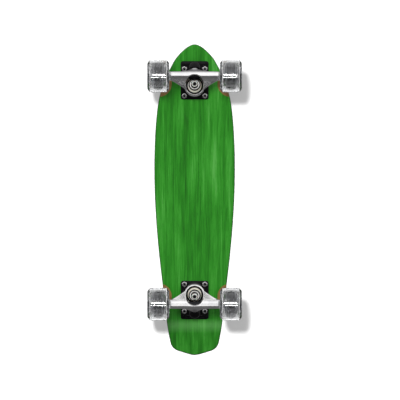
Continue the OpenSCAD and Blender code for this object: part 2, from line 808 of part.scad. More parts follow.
module ball_places() {
    for (i = [0 : ball_count - 1]) rotate([0, 0, i * 360 / ball_count])
        translate([ball_path_r, 0, 0]) children();
}

module bearing_balls() {
    color("silver") both_bearings() ball_places() sphere(d = ball_d);
}

// A ribbon cage: a narrow ring with a round pocket for each ball
module bearing_cages() {
    half = (bearing_w - 4 * shield_t) / 2 - 0.25;
    color("tan") both_bearings() difference() {
        translate([0, 0, -half]) ring_of(ball_path_r - 0.6, ball_path_r + 0.6, 2 * half);
        ball_places() rotate([0, 90, 0]) cylinder(r = groove_r, h = 4, center = true);
    }
}

// ---------- Assembly ----------

deck();
grip_tape();

for (e = [0, 1]) at_truck(e) {
    baseplate();
    pivot_cup();
    kingpin();
    kingpin_nut();
    boardside_bushing();
    roadside_bushing();
    boardside_washer();
    roadside_washer();
    hanger();
    axle();
    mounting_bolts();
    mounting_nuts();
    speed_washers();
    bearing_spacers();
    axle_nuts();
    inner_races();
}

for (i = [0 : 3]) at_wheel(floor(i / 2), i % 2 == 0 ? 1 : -1) {
    tyre();
    core();
    outer_races();
    bearing_shields();
    bearing_balls();
    bearing_cages();
}
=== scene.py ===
"""A mini cruiser skateboard, dressed part by part in the order that it is put together.

Units are metres. +X runs to the nose, +Y to the rider's left, +Z up, and the board stands
on its wheels with its tyres touching the plane z = 0.
"""

import math
import bmesh
import bpy
from mathutils import Matrix, Vector
from mathutils.geometry import interpolate_bezier


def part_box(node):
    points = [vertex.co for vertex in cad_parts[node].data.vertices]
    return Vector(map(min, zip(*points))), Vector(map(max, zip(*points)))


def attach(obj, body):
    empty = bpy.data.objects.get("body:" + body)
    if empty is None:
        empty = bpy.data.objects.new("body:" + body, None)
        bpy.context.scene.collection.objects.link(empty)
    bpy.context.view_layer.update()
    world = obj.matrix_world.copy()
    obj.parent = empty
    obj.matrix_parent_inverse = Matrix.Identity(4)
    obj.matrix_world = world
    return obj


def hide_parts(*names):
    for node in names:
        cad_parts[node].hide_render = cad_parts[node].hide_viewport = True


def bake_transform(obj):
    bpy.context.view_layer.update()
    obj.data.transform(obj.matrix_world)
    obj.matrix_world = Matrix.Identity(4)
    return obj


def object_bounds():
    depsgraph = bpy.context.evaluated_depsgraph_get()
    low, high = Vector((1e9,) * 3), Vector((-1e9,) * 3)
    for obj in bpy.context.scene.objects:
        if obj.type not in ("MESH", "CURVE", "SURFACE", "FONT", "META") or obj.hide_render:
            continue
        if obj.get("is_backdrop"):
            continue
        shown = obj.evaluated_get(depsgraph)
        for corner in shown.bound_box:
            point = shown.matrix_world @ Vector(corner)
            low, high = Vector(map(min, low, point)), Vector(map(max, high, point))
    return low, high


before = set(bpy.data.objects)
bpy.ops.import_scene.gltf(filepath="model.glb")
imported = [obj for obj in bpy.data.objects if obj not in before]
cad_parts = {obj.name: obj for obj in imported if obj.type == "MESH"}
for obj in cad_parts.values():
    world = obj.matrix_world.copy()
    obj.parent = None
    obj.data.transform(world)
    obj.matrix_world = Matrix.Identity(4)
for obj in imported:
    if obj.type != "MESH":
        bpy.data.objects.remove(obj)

MM = 0.001
cad_low, cad_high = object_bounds()


# ---------- Camera ----------
# A long lens looks straight up at the underside, with the nose at the top of the frame. It
# stands far below, so the board is seen almost without perspective.

CAMERA_BELOW = 9.0
FRAME_WIDTH = 0.8
LENS_SENSOR = 36.0
# The middle of the frame in plan, and the depth at which the width above holds
FRAME_MIDDLE = Vector((-0.0003, 0.0108, 0.05))

camera_data = bpy.data.cameras.new("long_lens")
camera_data.sensor_width = LENS_SENSOR
camera_data.lens = LENS_SENSOR * CAMERA_BELOW / FRAME_WIDTH
camera_data.clip_start = 1.0
camera_data.clip_end = 100.0
camera = bpy.data.objects.new("camera", camera_data)
bpy.context.scene.collection.objects.link(camera)
# Right of the frame is +Y, top is +X, and the lens looks along +Z
camera.matrix_world = Matrix.Translation(FRAME_MIDDLE - Vector((0, 0, CAMERA_BELOW))) @ Matrix(
    ((0, 1, 0, 0), (1, 0, 0, 0), (0, 0, -1, 0), (0, 0, 0, 1)))
bpy.context.scene.camera = camera
bpy.context.scene.view_settings.view_transform = "Standard"


# ---------- Deck ----------
# Seven plies of maple, pressed with a kicktail, cut to outline, and routed on both edges.
# The bottom ply is stained green, and the wheel wells are routed through to bare wood.

DECK_LENGTH = 625 * MM
DECK_HALF_WIDTH = 81 * MM
DECK_THICK = 11 * MM
DECK_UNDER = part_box("deck")[0].z
RAIL_RADIUS = 3.5 * MM
RAIL_SEGMENTS = 10
# An edge of the deck that turns by more than this, in degrees, stays sharp
DECK_CREASE = 11
# Bezier points of half the outline: mm from the nose or the tail end, and share of half width
NOSE_CURVE = ((0, 0), (0, 0.136), (14, 0.333), (30, 0.4815), (52, 0.648), (80, 0.79),
              (106, 0.874), (132, 0.95), (190, 1), (250, 1), (330, 1))
TAIL_CURVE = ((215, 0.907), (145, 0.7975), (105, 0.747), (55, 0.686), (25, 0.5975),
              (16, 0.574), (10.5, 0.494), (8, 0.383), (6, 0.296), (0, 0.111), (0, 0))
CURVE_STEPS = (14, 10, 10, 12, 24, 8, 10)
KICK_START = -240.5 * MM
KICK_RADIUS = 70 * MM
KICK_ANGLE = math.radians(20)
KICK_CUT = 2.5 * MM
WELL_RADIUS = 28 * MM
WELL_DEPTH = 3.5 * MM
WELL_INWARD = 14 * MM
TRUCK_MIDDLES = (235.5 * MM, -196.5 * MM)
INWARD = (-1, 1)
AXLE_OUT = 11.6 * MM
WHEEL_MIDDLE_Y = 72.5 * MM
BOLT_SPACING = (53.98 * MM, 41.28 * MM)
BOLT_HOLE_RADIUS = 2.75 * MM
# The countersink for a bolt's head, and how far its cutter runs past the deck
HEAD_RADIUS, HEAD_FROM, HEAD_TO = 5 * MM, 2.8 * MM, 0.55 * MM
CUT_BELOW, CUT_ABOVE = 5 * MM, 3 * MM


def linear(hex_colour):
    """An sRGB hex colour as the linear red, green, blue and alpha that sockets take."""
    parts = [int(hex_colour[i:i + 2], 16) / 255 for i in (1, 3, 5)]
    return [c / 12.92 if c <= 0.04045 else ((c + 0.055) / 1.055) ** 2.4 for c in parts] + [1]


def add_node(tree, kind, inputs=None, **settings):
    """Adds a shader node with its settings, and its inputs as values or links."""
    node = tree.nodes.new("ShaderNode" + kind)
    for key, value in settings.items():
        setattr(node, key, value)
    for key, value in (inputs or {}).items():
        if isinstance(value, bpy.types.NodeSocket):
            tree.links.new(value, node.inputs[key])
        else:
            node.inputs[key].default_value = value
    return node


def colour_stops(tree, factor, stops, interpolation="LINEAR"):
    """Adds a colour ramp with (place, hex colour) stops."""
    ramp_node = add_node(tree, "ValToRGB", {"Fac": factor})
    ramp = ramp_node.color_ramp
    ramp.interpolation = interpolation
    while len(ramp.elements) > 1:
        ramp.elements.remove(ramp.elements[-1])
    ramp.elements[0].position, ramp.elements[0].color = stops[0][0], linear(stops[0][1])
    for place, hex_colour in stops[1:]:
        ramp.elements.new(place).color = linear(hex_colour)
    return ramp_node.outputs["Color"]


def new_material(name, **surface):
    """A material with one Principled shader, its plain values set on its own sockets."""
    material = bpy.data.materials.new(name)
    material.use_nodes = True
    tree = material.node_tree
    shader = tree.nodes["Principled BSDF"]
    for key, value in surface.items():
        shader.inputs[key.replace("_", " ")].default_value = value
    return material, tree, shader


def scaled_pattern(tree, kind, mm, coordinate=None, offset=(0, 0, 0), inputs=None, **settings):
    """A texture whose cells are mm long on each axis, in the piece's own coordinates."""
    source = coordinate or add_node(tree, "TexCoord").outputs["Object"]
    place = add_node(tree, "Mapping", {"Vector": source, "Location": offset,
                                       "Scale": [1 / (m * MM) for m in mm]})
    return add_node(tree, kind, {"Vector": place.outputs["Vector"], "Scale": 1.0,
                                 **(inputs or {})}, **settings)


def link_bump(tree, shader, height, depth_mm, strength=1.0):
    """Bumps a shader by a height of 0 to 1 over a real depth."""
    bump = add_node(tree, "Bump", {"Height": height, "Distance": depth_mm * MM,
                                   "Strength": strength})
    tree.links.new(bump.outputs["Normal"], shader.inputs["Normal"])


def link_roughness(tree, shader, pattern, low, high):
    """Roughens a shader by a pattern, between two values."""
    rough = add_node(tree, "MapRange", {"Value": pattern.outputs["Fac"], "To Min": low,
                                        "To Max": high})
    tree.links.new(rough.outputs["Result"], shader.inputs["Roughness"])


def make_piece(name, mesh_source, material, smooth_angle=30):
    """Turns a bmesh into a finished piece with smooth faces and crisp corners."""
    mesh = bpy.data.meshes.new(name)
    bmesh.ops.recalc_face_normals(mesh_source, faces=mesh_source.faces)
    mesh_source.to_mesh(mesh)
    mesh_source.free()
    piece = bpy.data.objects.new(name, mesh)
    bpy.context.scene.collection.objects.link(piece)
    mesh.materials.append(material)
    mesh.shade_smooth()
    mesh.set_sharp_from_angle(angle=math.radians(smooth_angle))
    return piece


def apply_modifiers(piece):
    """Leaves the piece with the mesh that its modifiers make."""
    graph = bpy.context.evaluated_depsgraph_get()
    graph.update()
    done = bpy.data.meshes.new_from_object(piece.evaluated_get(graph))
    piece.modifiers.clear()
    piece.data = done


def cut_with(piece, cutters):
    """Cuts closed shapes out of a piece and throws the cutters away."""
    for cutter in cutters:
        cut = piece.modifiers.new("cut", "BOOLEAN")
        cut.operation, cut.object, cut.solver = "DIFFERENCE", cutter, "EXACT"
    apply_modifiers(piece)
    for cutter in cutters:
        bpy.data.objects.remove(cutter)


def settle_normals(piece):
    """Lets the large flat faces rule the shading beside a rounded edge."""
    weighted = piece.modifiers.new("flat_faces_rule", "WEIGHTED_NORMAL")
    weighted.keep_sharp = True


def outline_points():
    """The deck's outline in plan: down the +Y side, then back up the -Y side."""
    points = [Vector((DECK_LENGTH / 2 - x * MM, share * DECK_HALF_WIDTH))
              for x, share in NOSE_CURVE]
    points += [Vector((x * MM - DECK_LENGTH / 2, share * DECK_HALF_WIDTH))
               for x, share in TAIL_CURVE]
    side = []
    for k, steps in enumerate(CURVE_STEPS):
        side += interpolate_bezier(*points[3 * k:3 * k + 4], steps + 1)[:-1]
    side.append(points[-1])
    return side + [Vector((p.x, -p.y)) for p in reversed(side[1:-1])]


def kick_slope(x):
    """The kick's angle at x along the deck."""
    return min(KICK_ANGLE, math.asin(min(1, max(0, KICK_START - x) / KICK_RADIUS)))


def kick_rise(x):
    """How far the kick has lifted the underside at x."""
    run, arc = max(0, KICK_START - x), KICK_RADIUS * math.sin(KICK_ANGLE)
    if run < arc:
        return KICK_RADIUS * (1 - math.cos(kick_slope(x)))
    return KICK_RADIUS * (1 - math.cos(KICK_ANGLE)) + (run - arc) * math.tan(KICK_ANGLE)


def flat_slab(inset, low, high):
    """The deck's outline, inset and raised into a slab between two heights."""
    slab = bmesh.new()
    corners = [slab.verts.new((p.x, p.y, low)) for p in outline_points()]
    sheet = slab.faces.new(corners)
    slab.normal_update()
    if inset:
        bmesh.ops.inset_region(slab, faces=[sheet], thickness=inset, use_even_offset=True,
                               use_boundary=True)
        bmesh.ops.delete(slab, geom=[f for f in slab.faces if f != sheet], context="FACES")
    grown = bmesh.ops.extrude_face_region(slab, geom=[sheet])
    tops = [v for v in grown["geom"] if isinstance(v, bmesh.types.BMVert)]
    bmesh.ops.translate(slab, vec=(0, 0, high - low), verts=tops)
    return slab


def press_kick(slab):
    """Slices the tail of a flat slab across and bends it up, as the press does."""
    x = KICK_START
    while x > KICK_START - KICK_RADIUS * math.sin(KICK_ANGLE) - KICK_CUT:
        bmesh.ops.bisect_plane(slab, geom=slab.verts[:] + slab.edges[:] + slab.faces[:],
                               plane_co=(x, 0, 0), plane_no=(1, 0, 0))
        x -= KICK_CUT
    for v in slab.verts:
        v.co.z = kick_rise(v.co.x) + v.co.z / math.cos(kick_slope(v.co.x))
    bmesh.ops.translate(slab, vec=(0, 0, DECK_UNDER), verts=slab.verts)
    return slab


def turned(profile, segments, matrix=Matrix.Identity(4), rounds=None):
    """A closed solid spun about its own z from (radius, height) points, then placed. Rounds
    gives the corners to soften, as an index in the profile and a length cut from each side."""
    shape = bmesh.new()
    rim = [shape.verts.new((r, 0, h)) for r, h in profile]
    edges = [shape.edges.new(pair) for pair in zip(rim, rim[1:])]
    if profile[0][0] > 0:
        edges.append(shape.edges.new((rim[-1], rim[0])))
    for index, cut in (rounds or {}).items():
        bmesh.ops.bevel(shape, geom=[rim[index]], offset=cut, affect="VERTICES", segments=6,
                        profile=0.5, material=-1)
    bmesh.ops.spin(shape, geom=shape.verts[:] + shape.edges[:], cent=(0, 0, 0), axis=(0, 0, 1),
                   angle=2 * math.pi, steps=segments, use_merge=True)
    bmesh.ops.remove_doubles(shape, verts=shape.verts, dist=1e-7)
    bmesh.ops.transform(shape, matrix=matrix, verts=shape.verts)
    bmesh.ops.recalc_face_normals(shape, faces=shape.faces)
    return shape


def as_cutter(shape):
    """Keeps a shape as an object that cuts others and isn't seen."""
    mesh = bpy.data.meshes.new("cutter")
    shape.to_mesh(mesh)
    shape.free()
    cutter = bpy.data.objects.new("cutter", mesh)
    bpy.context.scene.collection.objects.link(cutter)
    cutter.hide_render = True
    return cutter


def bolt_spots():
    """The eight bolt places in plan."""
    return [Vector((middle + sx * BOLT_SPACING[0] / 2, sy * BOLT_SPACING[1] / 2, 0))
            for middle in TRUCK_MIDDLES for sx in (-1, 1) for sy in (-1, 1)]


# How much the broad streaks, the fibres and the patches each weigh in the figure, how strong the
# painted highlight over the bend is, how far up the rail the stain soaks, and how much painted
# shade darkens the rail
STREAKS, FIBRES, PATCHES = 0.6, 0.45, 0.3
BEND_HIGHLIGHT_STRENGTH = 0.28
RAIL_SOAK = -0.27
RAIL_SHADE_STRENGTH = 0.8

# Green-stained maple under a thin matt lacquer: broad lengthwise streaks 13 mm wide, fibres
# 2 mm wide, drawn coarser than real ones so that they show, and pores as short dark darts
stained_maple, tree, shader = new_material("stained_maple_veneer", Roughness=0.5, IOR=1.5,
                                           Specular_IOR_Level=0.3)
cloudy = scaled_pattern(tree, "TexNoise", (260, 13, 60), offset=(3.1, 0.7, 0),
                        inputs={"Detail": 3.0, "Roughness": 0.6})
fibres = scaled_pattern(tree, "TexNoise", (60, 2.2, 30), inputs={"Detail": 4.0, "Roughness": 0.6})
patches = scaled_pattern(tree, "TexNoise", (120, 60, 60), offset=(0.4, 5.2, 0),
                         inputs={"Detail": 2.0, "Roughness": 0.5})
pores = scaled_pattern(tree, "TexNoise", (11, 0.9, 20), inputs={"Detail": 1.0})
streaks = add_node(tree, "Math", {0: cloudy.outputs["Fac"], 1: STREAKS}, operation="MULTIPLY")
streaks_and_fibres = add_node(tree, "Math", {0: fibres.outputs["Fac"], 1: FIBRES,
                                             2: streaks.outputs[0]}, operation="MULTIPLY_ADD")
figure = add_node(tree, "Math", {0: patches.outputs["Fac"], 1: PATCHES,
                                 2: streaks_and_fibres.outputs[0]}, operation="MULTIPLY_ADD")
stain = colour_stops(tree, figure.outputs[0],
                     ((0.50, "#146008"), (0.60, "#1f7a12"), (0.68, "#2a8a1c"), (0.76, "#3a9a2c"),
                      (0.86, "#55ab48")))
pore_mask = add_node(tree, "MapRange", {"Value": pores.outputs["Fac"], "From Min": 0.6,
                                        "From Max": 0.72, "To Min": 0.0, "To Max": 0.4})
grained = add_node(tree, "Mix", {"Factor": pore_mask.outputs["Result"], "A": stain,
                                 "B": linear("#12500c")}, data_type="RGBA")
# A painted highlight makes the stain paler in a band across the bend
BEND_HIGHLIGHT_SPAN = (-268 * MM, -254 * MM, -249 * MM, -238 * MM)
lengthwise = add_node(tree, "SeparateXYZ", {
    "Vector": add_node(tree, "TexCoord").outputs["Object"]}).outputs["X"]
band_in = add_node(tree, "MapRange", {"Value": lengthwise, "From Min": BEND_HIGHLIGHT_SPAN[0],
                                      "From Max": BEND_HIGHLIGHT_SPAN[1]})
band_out = add_node(tree, "MapRange", {"Value": lengthwise, "From Min": BEND_HIGHLIGHT_SPAN[3],
                                       "From Max": BEND_HIGHLIGHT_SPAN[2]})
band = add_node(tree, "Math", {0: band_in.outputs["Result"], 1: band_out.outputs["Result"]},
                operation="MULTIPLY")
bend_highlight_share = add_node(tree, "Math", {0: band.outputs[0], 1: BEND_HIGHLIGHT_STRENGTH}, operation="MULTIPLY")
stained = add_node(tree, "Mix", {"Factor": bend_highlight_share.outputs[0], "A": grained.outputs[2],
                                 "B": linear("#7fc075")}, data_type="RGBA")
# The plies show on the rail and in the wells, by their height through the thickness
height = add_node(tree, "Attribute", attribute_name="ply_height").outputs["Fac"]
plies = colour_stops(tree, height,
                     ((0.0, "#8a6a40"), (0.143, "#8d6a3f"), (0.286, "#b08a55"), (0.429, "#6e4a27"),
                      (0.571, "#b08a55"), (0.714, "#5f3f20"), (0.857, "#a67d49")), "CONSTANT")
grain = scaled_pattern(tree, "TexNoise", (25, 0.9, 0.9), inputs={"Detail": 3.0})
bare_shade = add_node(tree, "MapRange", {"Value": grain.outputs["Fac"], "From Min": 0.3,
                                         "From Max": 0.7, "To Min": 0.85, "To Max": 1.3})
bare = add_node(tree, "VectorMath", {0: plies, "Scale": bare_shade.outputs["Result"]},
                operation="SCALE")
# Stain soaks over the edge of the bottom and the top ply and stops with a ragged line
ragged = scaled_pattern(tree, "TexNoise", (4, 4, 4), inputs={"Detail": 2.0})
ragged_edge = add_node(tree, "Math", {0: ragged.outputs["Fac"], 1: 0.03, 2: height},
                       operation="MULTIPLY_ADD")
routed = add_node(tree, "Attribute", attribute_name="routed").outputs["Fac"]
soak = add_node(tree, "MapRange", {"Value": routed, "To Min": RAIL_SOAK, "To Max": 0.0})
soaked_edge = add_node(tree, "Math", {0: ragged_edge.outputs[0], 1: soak.outputs["Result"]})
under_skin = add_node(tree, "MapRange", {"Value": soaked_edge.outputs[0], "From Min": 0.035,
                                         "From Max": 0.06})
# Painted shade darkens the stained rail where it turns up from the underside
rail_shade_ramp = add_node(tree, "MapRange", {"Value": height, "From Min": 0.015, "From Max": 0.12})
rail_shade_share = add_node(tree, "Math", {0: rail_shade_ramp.outputs["Result"], 1: RAIL_SHADE_STRENGTH},
                      operation="MULTIPLY")
rail_shaded = add_node(tree, "Mix", {"Factor": rail_shade_share.outputs[0], "A": stained.outputs[2],
                                "B": linear("#0f3a0a")}, data_type="RGBA")
over_skin = add_node(tree, "MapRange", {"Value": ragged_edge.outputs[0], "From Min": 0.93,
                                        "From Max": 0.96, "To Min": 1.0, "To Max": 0.0})
bare_mask = add_node(tree, "Math", {0: under_skin.outputs["Result"],
                                    1: over_skin.outputs["Result"]}, operation="MULTIPLY")
deck_colour = add_node(tree, "Mix", {"Factor": bare_mask.outputs[0], "A": rail_shaded.outputs[2],
                                     "B": bare.outputs[0]}, data_type="RGBA")
tree.links.new(deck_colour.outputs[2], shader.inputs["Base Color"])
link_roughness(tree, shader, fibres, 0.42, 0.6)
link_bump(tree, shader, fibres.outputs["Fac"], 0.12, 0.5)

slab = flat_slab(0, 0, DECK_THICK)
rims = [e for e in slab.edges if abs(e.verts[0].co.z - e.verts[1].co.z) < 1e-6]
bmesh.ops.bevel(slab, geom=rims, offset=RAIL_RADIUS, affect="EDGES", segments=RAIL_SEGMENTS,
                profile=0.5, material=-1, clamp_overlap=True)
deck = make_piece("deck_plies", press_kick(slab), stained_maple, DECK_CREASE)
DISH_RADIUS = (WELL_RADIUS ** 2 + WELL_DEPTH ** 2) / (2 * WELL_DEPTH)
DISH_RINGS = 16
DISH_REACH = 1.25
DISH_CUTS_BELOW = 4 * MM
ON_DISH = 0.05 * MM
dish_angle = math.asin(DISH_REACH * WELL_RADIUS / DISH_RADIUS)
dish = [(DISH_RADIUS * math.sin(dish_angle * i / DISH_RINGS),
         DISH_RADIUS * math.cos(dish_angle * i / DISH_RINGS)) for i in range(DISH_RINGS + 1)]
dish.append((0, dish[-1][1] - DISH_CUTS_BELOW))
dish_spots = [Vector((middle + inward * (WELL_INWARD - AXLE_OUT), side * WHEEL_MIDDLE_Y,
                      DECK_UNDER + WELL_DEPTH - DISH_RADIUS))
              for middle, inward in zip(TRUCK_MIDDLES, INWARD) for side in (-1, 1)]
cutters = [as_cutter(turned(dish, 96, Matrix.Translation(spot))) for spot in dish_spots]
bolt_hole = ((0, -CUT_BELOW), (BOLT_HOLE_RADIUS, -CUT_BELOW),
             (BOLT_HOLE_RADIUS, DECK_THICK - HEAD_FROM), (HEAD_RADIUS, DECK_THICK - HEAD_TO),
             (HEAD_RADIUS, DECK_THICK + CUT_ABOVE), (0, DECK_THICK + CUT_ABOVE))
cutters += [as_cutter(turned(bolt_hole, 32,
                             Matrix.Translation(spot + Vector((0, 0, DECK_UNDER)))))
            for spot in bolt_spots()]
cut_with(deck, cutters)
deck.data.set_sharp_from_angle(angle=math.radians(DECK_CREASE))
ply = deck.data.attributes.new("ply_height", "FLOAT", "POINT")
ply.data.foreach_set("value", [
    (v.co.z - DECK_UNDER - kick_rise(v.co.x)) * math.cos(kick_slope(v.co.x)) / DECK_THICK
    for v in deck.data.vertices])
in_dish = [any(abs((v.co - spot).length - DISH_RADIUS) < ON_DISH for spot in dish_spots)
           for v in deck.data.vertices]
wells = deck.data.attributes.new("routed", "FLOAT", "FACE")
wells.data.foreach_set("value", [float(all(in_dish[k] for k in face.vertices))
                                 for face in deck.data.polygons])
settle_normals(deck)
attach(deck, "deck")
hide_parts("deck")
# The polished metal mirrors only the studio, as it does under a tent of white cloth
deck.visible_glossy = False


# ---------- Grip tape ----------
# A sheet of silicon carbide grit on a backing that is glued to the top ply. It is cut 4 mm
# inside the rail and pierced over the bolts.

GRIP_INSET = 4 * MM
GLUE = 0.15 * MM
GRIP_THICK = 1.0 * MM
GRIP_HOLE_RADIUS = 5.25 * MM
GRIP_HOLE_FROM, GRIP_HOLE_TO = 8 * MM, 16 * MM

# Grit gives a dull black that sparkles here and there, under grey scuffs. Its grains are drawn
# several times their real size so that they show
grip_grit, tree, shader = new_material("silicon_carbide_grit", Roughness=0.85,
                                       Specular_IOR_Level=0.35)
grit = scaled_pattern(tree, "TexVoronoi", (0.9, 0.9, 0.9), feature="F1")
sparkle = scaled_pattern(tree, "TexVoronoi", (1.3, 1.3, 1.3), offset=(0.3, 0.2, 0.7), feature="F1")
scuffs = scaled_pattern(tree, "TexNoise", (60, 45, 60), inputs={"Detail": 4.0})
worn = add_node(tree, "MapRange", {"Value": scuffs.outputs["Fac"], "From Min": 0.45,
                                   "From Max": 0.75, "To Min": 0.0, "To Max": 0.5})
black = colour_stops(tree, sparkle.outputs["Color"],
                     ((0.0, "#0e0e10"), (0.55, "#1b1b1e"), (0.9, "#2e2e32"), (1.0, "#5c5c62")))
dusty = add_node(tree, "Mix", {"Factor": worn.outputs["Result"], "A": black,
                               "B": linear("#3c3b3d")}, data_type="RGBA")
tree.links.new(dusty.outputs[2], shader.inputs["Base Color"])
link_bump(tree, shader, grit.outputs["Distance"], 0.35, 1.0)

sheet = flat_slab(GRIP_INSET, DECK_THICK + GLUE, DECK_THICK + GLUE + GRIP_THICK)
grip = make_piece("grip_sheet", press_kick(sheet), grip_grit)
grip_hole = ((0, GRIP_HOLE_FROM), (GRIP_HOLE_RADIUS, GRIP_HOLE_FROM),
             (GRIP_HOLE_RADIUS, GRIP_HOLE_TO), (0, GRIP_HOLE_TO))
cut_with(grip, [as_cutter(turned(grip_hole, 32,
                                 Matrix.Translation(spot + Vector((0, 0, DECK_UNDER)))))
                for spot in bolt_spots()])
settle_normals(grip)
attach(grip, "deck")
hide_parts("grip_tape")
grip.visible_glossy = False


# ---------- Baseplates ----------
# Die-cast aluminium plates, bolted up under the deck, that hold the kingpins and the pivot
# cups. Their black powder coat has a fine orange-peel skin.

ENDS = ("front", "rear")


def link_tones(tree, shader, pattern, dark, pale):
    """Colours a shader by a pattern, between a dark and a pale hex colour."""
    tones = colour_stops(tree, pattern.outputs["Fac"], ((0.3, dark), (0.7, pale)))
    tree.links.new(tones, shader.inputs["Base Color"])


powder_coat, tree, shader = new_material("black_powder_coat", Roughness=0.5, IOR=1.5,
                                         Specular_IOR_Level=0.12)
peel = scaled_pattern(tree, "TexNoise", (1.1, 1.1, 1.1), inputs={"Detail": 2.0})
tone = scaled_pattern(tree, "TexNoise", (18, 18, 18), inputs={"Detail": 3.0})
link_tones(tree, shader, tone, "#050506", "#0b0a0d")
link_roughness(tree, shader, tone, 0.36, 0.54)
link_bump(tree, shader, peel.outputs["Fac"], 0.08, 0.6)


# How near two points of a CAD mesh are when they are one
SAME_POINT = 2e-6


def cast_copy(node, name, material, voxel_mm, rounds):
    """A CAD casting's own solid, remeshed and relaxed so that its inner corners fill as a
    casting's do."""
    solid = bmesh.new()
    solid.from_mesh(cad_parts[node].data)
    bmesh.ops.remove_doubles(solid, verts=solid.verts, dist=SAME_POINT)
    piece = make_piece(name, solid, material)
    remesh = piece.modifiers.new("skin", "REMESH")
    remesh.mode, remesh.voxel_size, remesh.use_smooth_shade = "VOXEL", voxel_mm * MM, True
    relax = piece.modifiers.new("fillets", "SMOOTH")
    relax.factor, relax.iterations = 0.5, rounds
    apply_modifiers(piece)
    piece.data.materials.clear()
    piece.data.materials.append(material)
    piece.data.shade_smooth()
    return piece


for end in ENDS:
    plate = cast_copy(f"{end}_baseplate", f"{end}_baseplate_casting", powder_coat,
                      voxel_mm=0.55, rounds=4)
    plate.visible_glossy = False
    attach(plate, "deck")
    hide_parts(f"{end}_baseplate")


# ---------- Bolts and nuts ----------
# Four black-oxide countersunk bolts go down through the deck and each plate, and bright zinc
# lock nuts hold them against the plate.

SOFT_EDGE = 0.18 * MM
# An edge that turns by more than this, in degrees, is a corner
CORNER = 34

# Black oxide leaves the steel dark, with a soft and slightly mottled shine
black_oxide, tree, shader = new_material("black_oxide_steel", Metallic=1.0, Roughness=0.35)
mottle = scaled_pattern(tree, "TexNoise", (2, 2, 2), inputs={"Detail": 3.0})
link_tones(tree, shader, mottle, "#1a1a1c", "#2c2b2d")

# Bright zinc gives a clean silver that is cloudy in places
zinc_plate, tree, shader = new_material("bright_zinc_plated_steel", Metallic=1.0, Roughness=0.24)
mottle = scaled_pattern(tree, "TexNoise", (3, 3, 3), inputs={"Detail": 4.0})
link_tones(tree, shader, mottle, "#a2a2a4", "#c6c5c3")
link_roughness(tree, shader, mottle, 0.16, 0.34)


def turned_copy(node, finish, material, body, soft=0):
    """A CAD piece's own solid, merged and smoothly shaded, with its corners broken when soft is
    given.
    """
    solid = bmesh.new()
    solid.from_mesh(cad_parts[node].data)
    bmesh.ops.remove_doubles(solid, verts=solid.verts, dist=SAME_POINT)
    bmesh.ops.dissolve_limit(solid, angle_limit=math.radians(0.5), verts=solid.verts,
                             edges=solid.edges)
    piece = make_piece(f"{node}_{finish}", solid, material, CORNER)
    if soft:
        corners = piece.modifiers.new("broken_corners", "BEVEL")
        corners.width, corners.segments, corners.angle_limit = soft, 2, math.radians(CORNER)
        corners.harden_normals = True
    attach(piece, body)
    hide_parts(node)
    return piece


for end in ENDS:
    turned_copy(f"{end}_mounting_bolts", "steel", black_oxide, "deck")
    turned_copy(f"{end}_mounting_nuts", "zinc", zinc_plate, "deck", SOFT_EDGE)


# ---------- Kingpins, their nuts and the cup washers ----------
# A pressed-in kingpin holds the stack, bright plated like its mounting hardware. Its lock nut
# and the pressed cup washers are black oxide steel, and the nut grips with a nylon ring.

KINGPIN_LEAN = math.radians(9.5)
KINGPIN_RADIUS = 4.76 * MM
RING_IN = 8.1 * MM
RING_DROP = 30 * MM
RING_THICK = 8 * MM
CUP_SHEET = 1.5 * MM
CUP_LIP = 1.8 * MM
CUP_SHOULDER = 2.2 * MM
CUP_WALL = 0.7 * CUP_SHEET
CUP_BORE_PLAY, CUP_RIM_PLAY = 0.2 * MM, 0.25 * MM
BOARD_RADIUS, BOARD_HEIGHT = 12.7 * MM, 13.5 * MM
ROAD_RADIUS, ROAD_RADIUS_OUT, ROAD_HEIGHT = 14 * MM, 10.6 * MM, 11 * MM
SEAT_AT = -(RING_THICK / 2 + BOARD_HEIGHT + CUP_SHEET)
NUT_AT = RING_THICK / 2 + ROAD_HEIGHT + CUP_SHEET
NUT_HEIGHT = 9.5 * MM
NUT_COLLAR_RADIUS = 5.72 * MM
NYLON_PLAY, NYLON_DEEP, NYLON_FLARE = 0.05 * MM, 2 * MM, 0.1 * MM
NYLON_RISE_IN, NYLON_RISE_OUT = 0.3 * MM, 0.1 * MM
# How far from the axis, in mm, the tones of ringed steel are given
RINGS_REACH = 20.0

# Nylon with no pigment is milky white, and light goes a little way into it
natural_nylon, tree, shader = new_material("moulded_natural_nylon", Roughness=0.4, IOR=1.53,
                                           Subsurface_Weight=0.2, Subsurface_Scale=0.002)
cloud = scaled_pattern(tree, "TexNoise", (1.5, 1.5, 1.5), inputs={"Detail": 2.0})
link_tones(tree, shader, cloud, "#e4e2da", "#f3f2ec")


def kingpin_frame(end):
    """From the ring's middle, with z away from the deck along the kingpin."""
    i = ENDS.index(end)
    return (Matrix.Translation((TRUCK_MIDDLES[i], 0, DECK_UNDER))
            @ Matrix.Rotation(math.pi if INWARD[i] < 0 else 0, 4, "Z")
            @ Matrix.Translation((RING_IN, 0, -RING_DROP))
            @ Matrix.Rotation(math.pi + KINGPIN_LEAN, 4, "Y"))


def ringed_steel(name, stops):
    """Steel whose tone changes with the distance in mm from the kingpin's axis."""
    material, tree, shader = new_material(name, Metallic=1.0, Roughness=0.3)
    reach = add_node(tree, "Attribute", attribute_name="off_axis").outputs["Fac"]
    share = add_node(tree, "Math", {0: reach, 1: 1 / RINGS_REACH}, operation="MULTIPLY")
    tone = colour_stops(tree, share.outputs[0],
                        [(mm / RINGS_REACH, hex_colour) for mm, hex_colour in stops])
    tree.links.new(tone, shader.inputs["Base Color"])
    return material


def mark_off_axis(piece, end):
    """Gives each point its distance in mm from the kingpin's axis."""
    to_kingpin = kingpin_frame(end).inverted()
    reach = piece.data.attributes.new("off_axis", "FLOAT", "POINT")
    reach.data.foreach_set("value", [math.hypot(*(to_kingpin @ v.co).xy) / MM
                                     for v in piece.data.vertices])
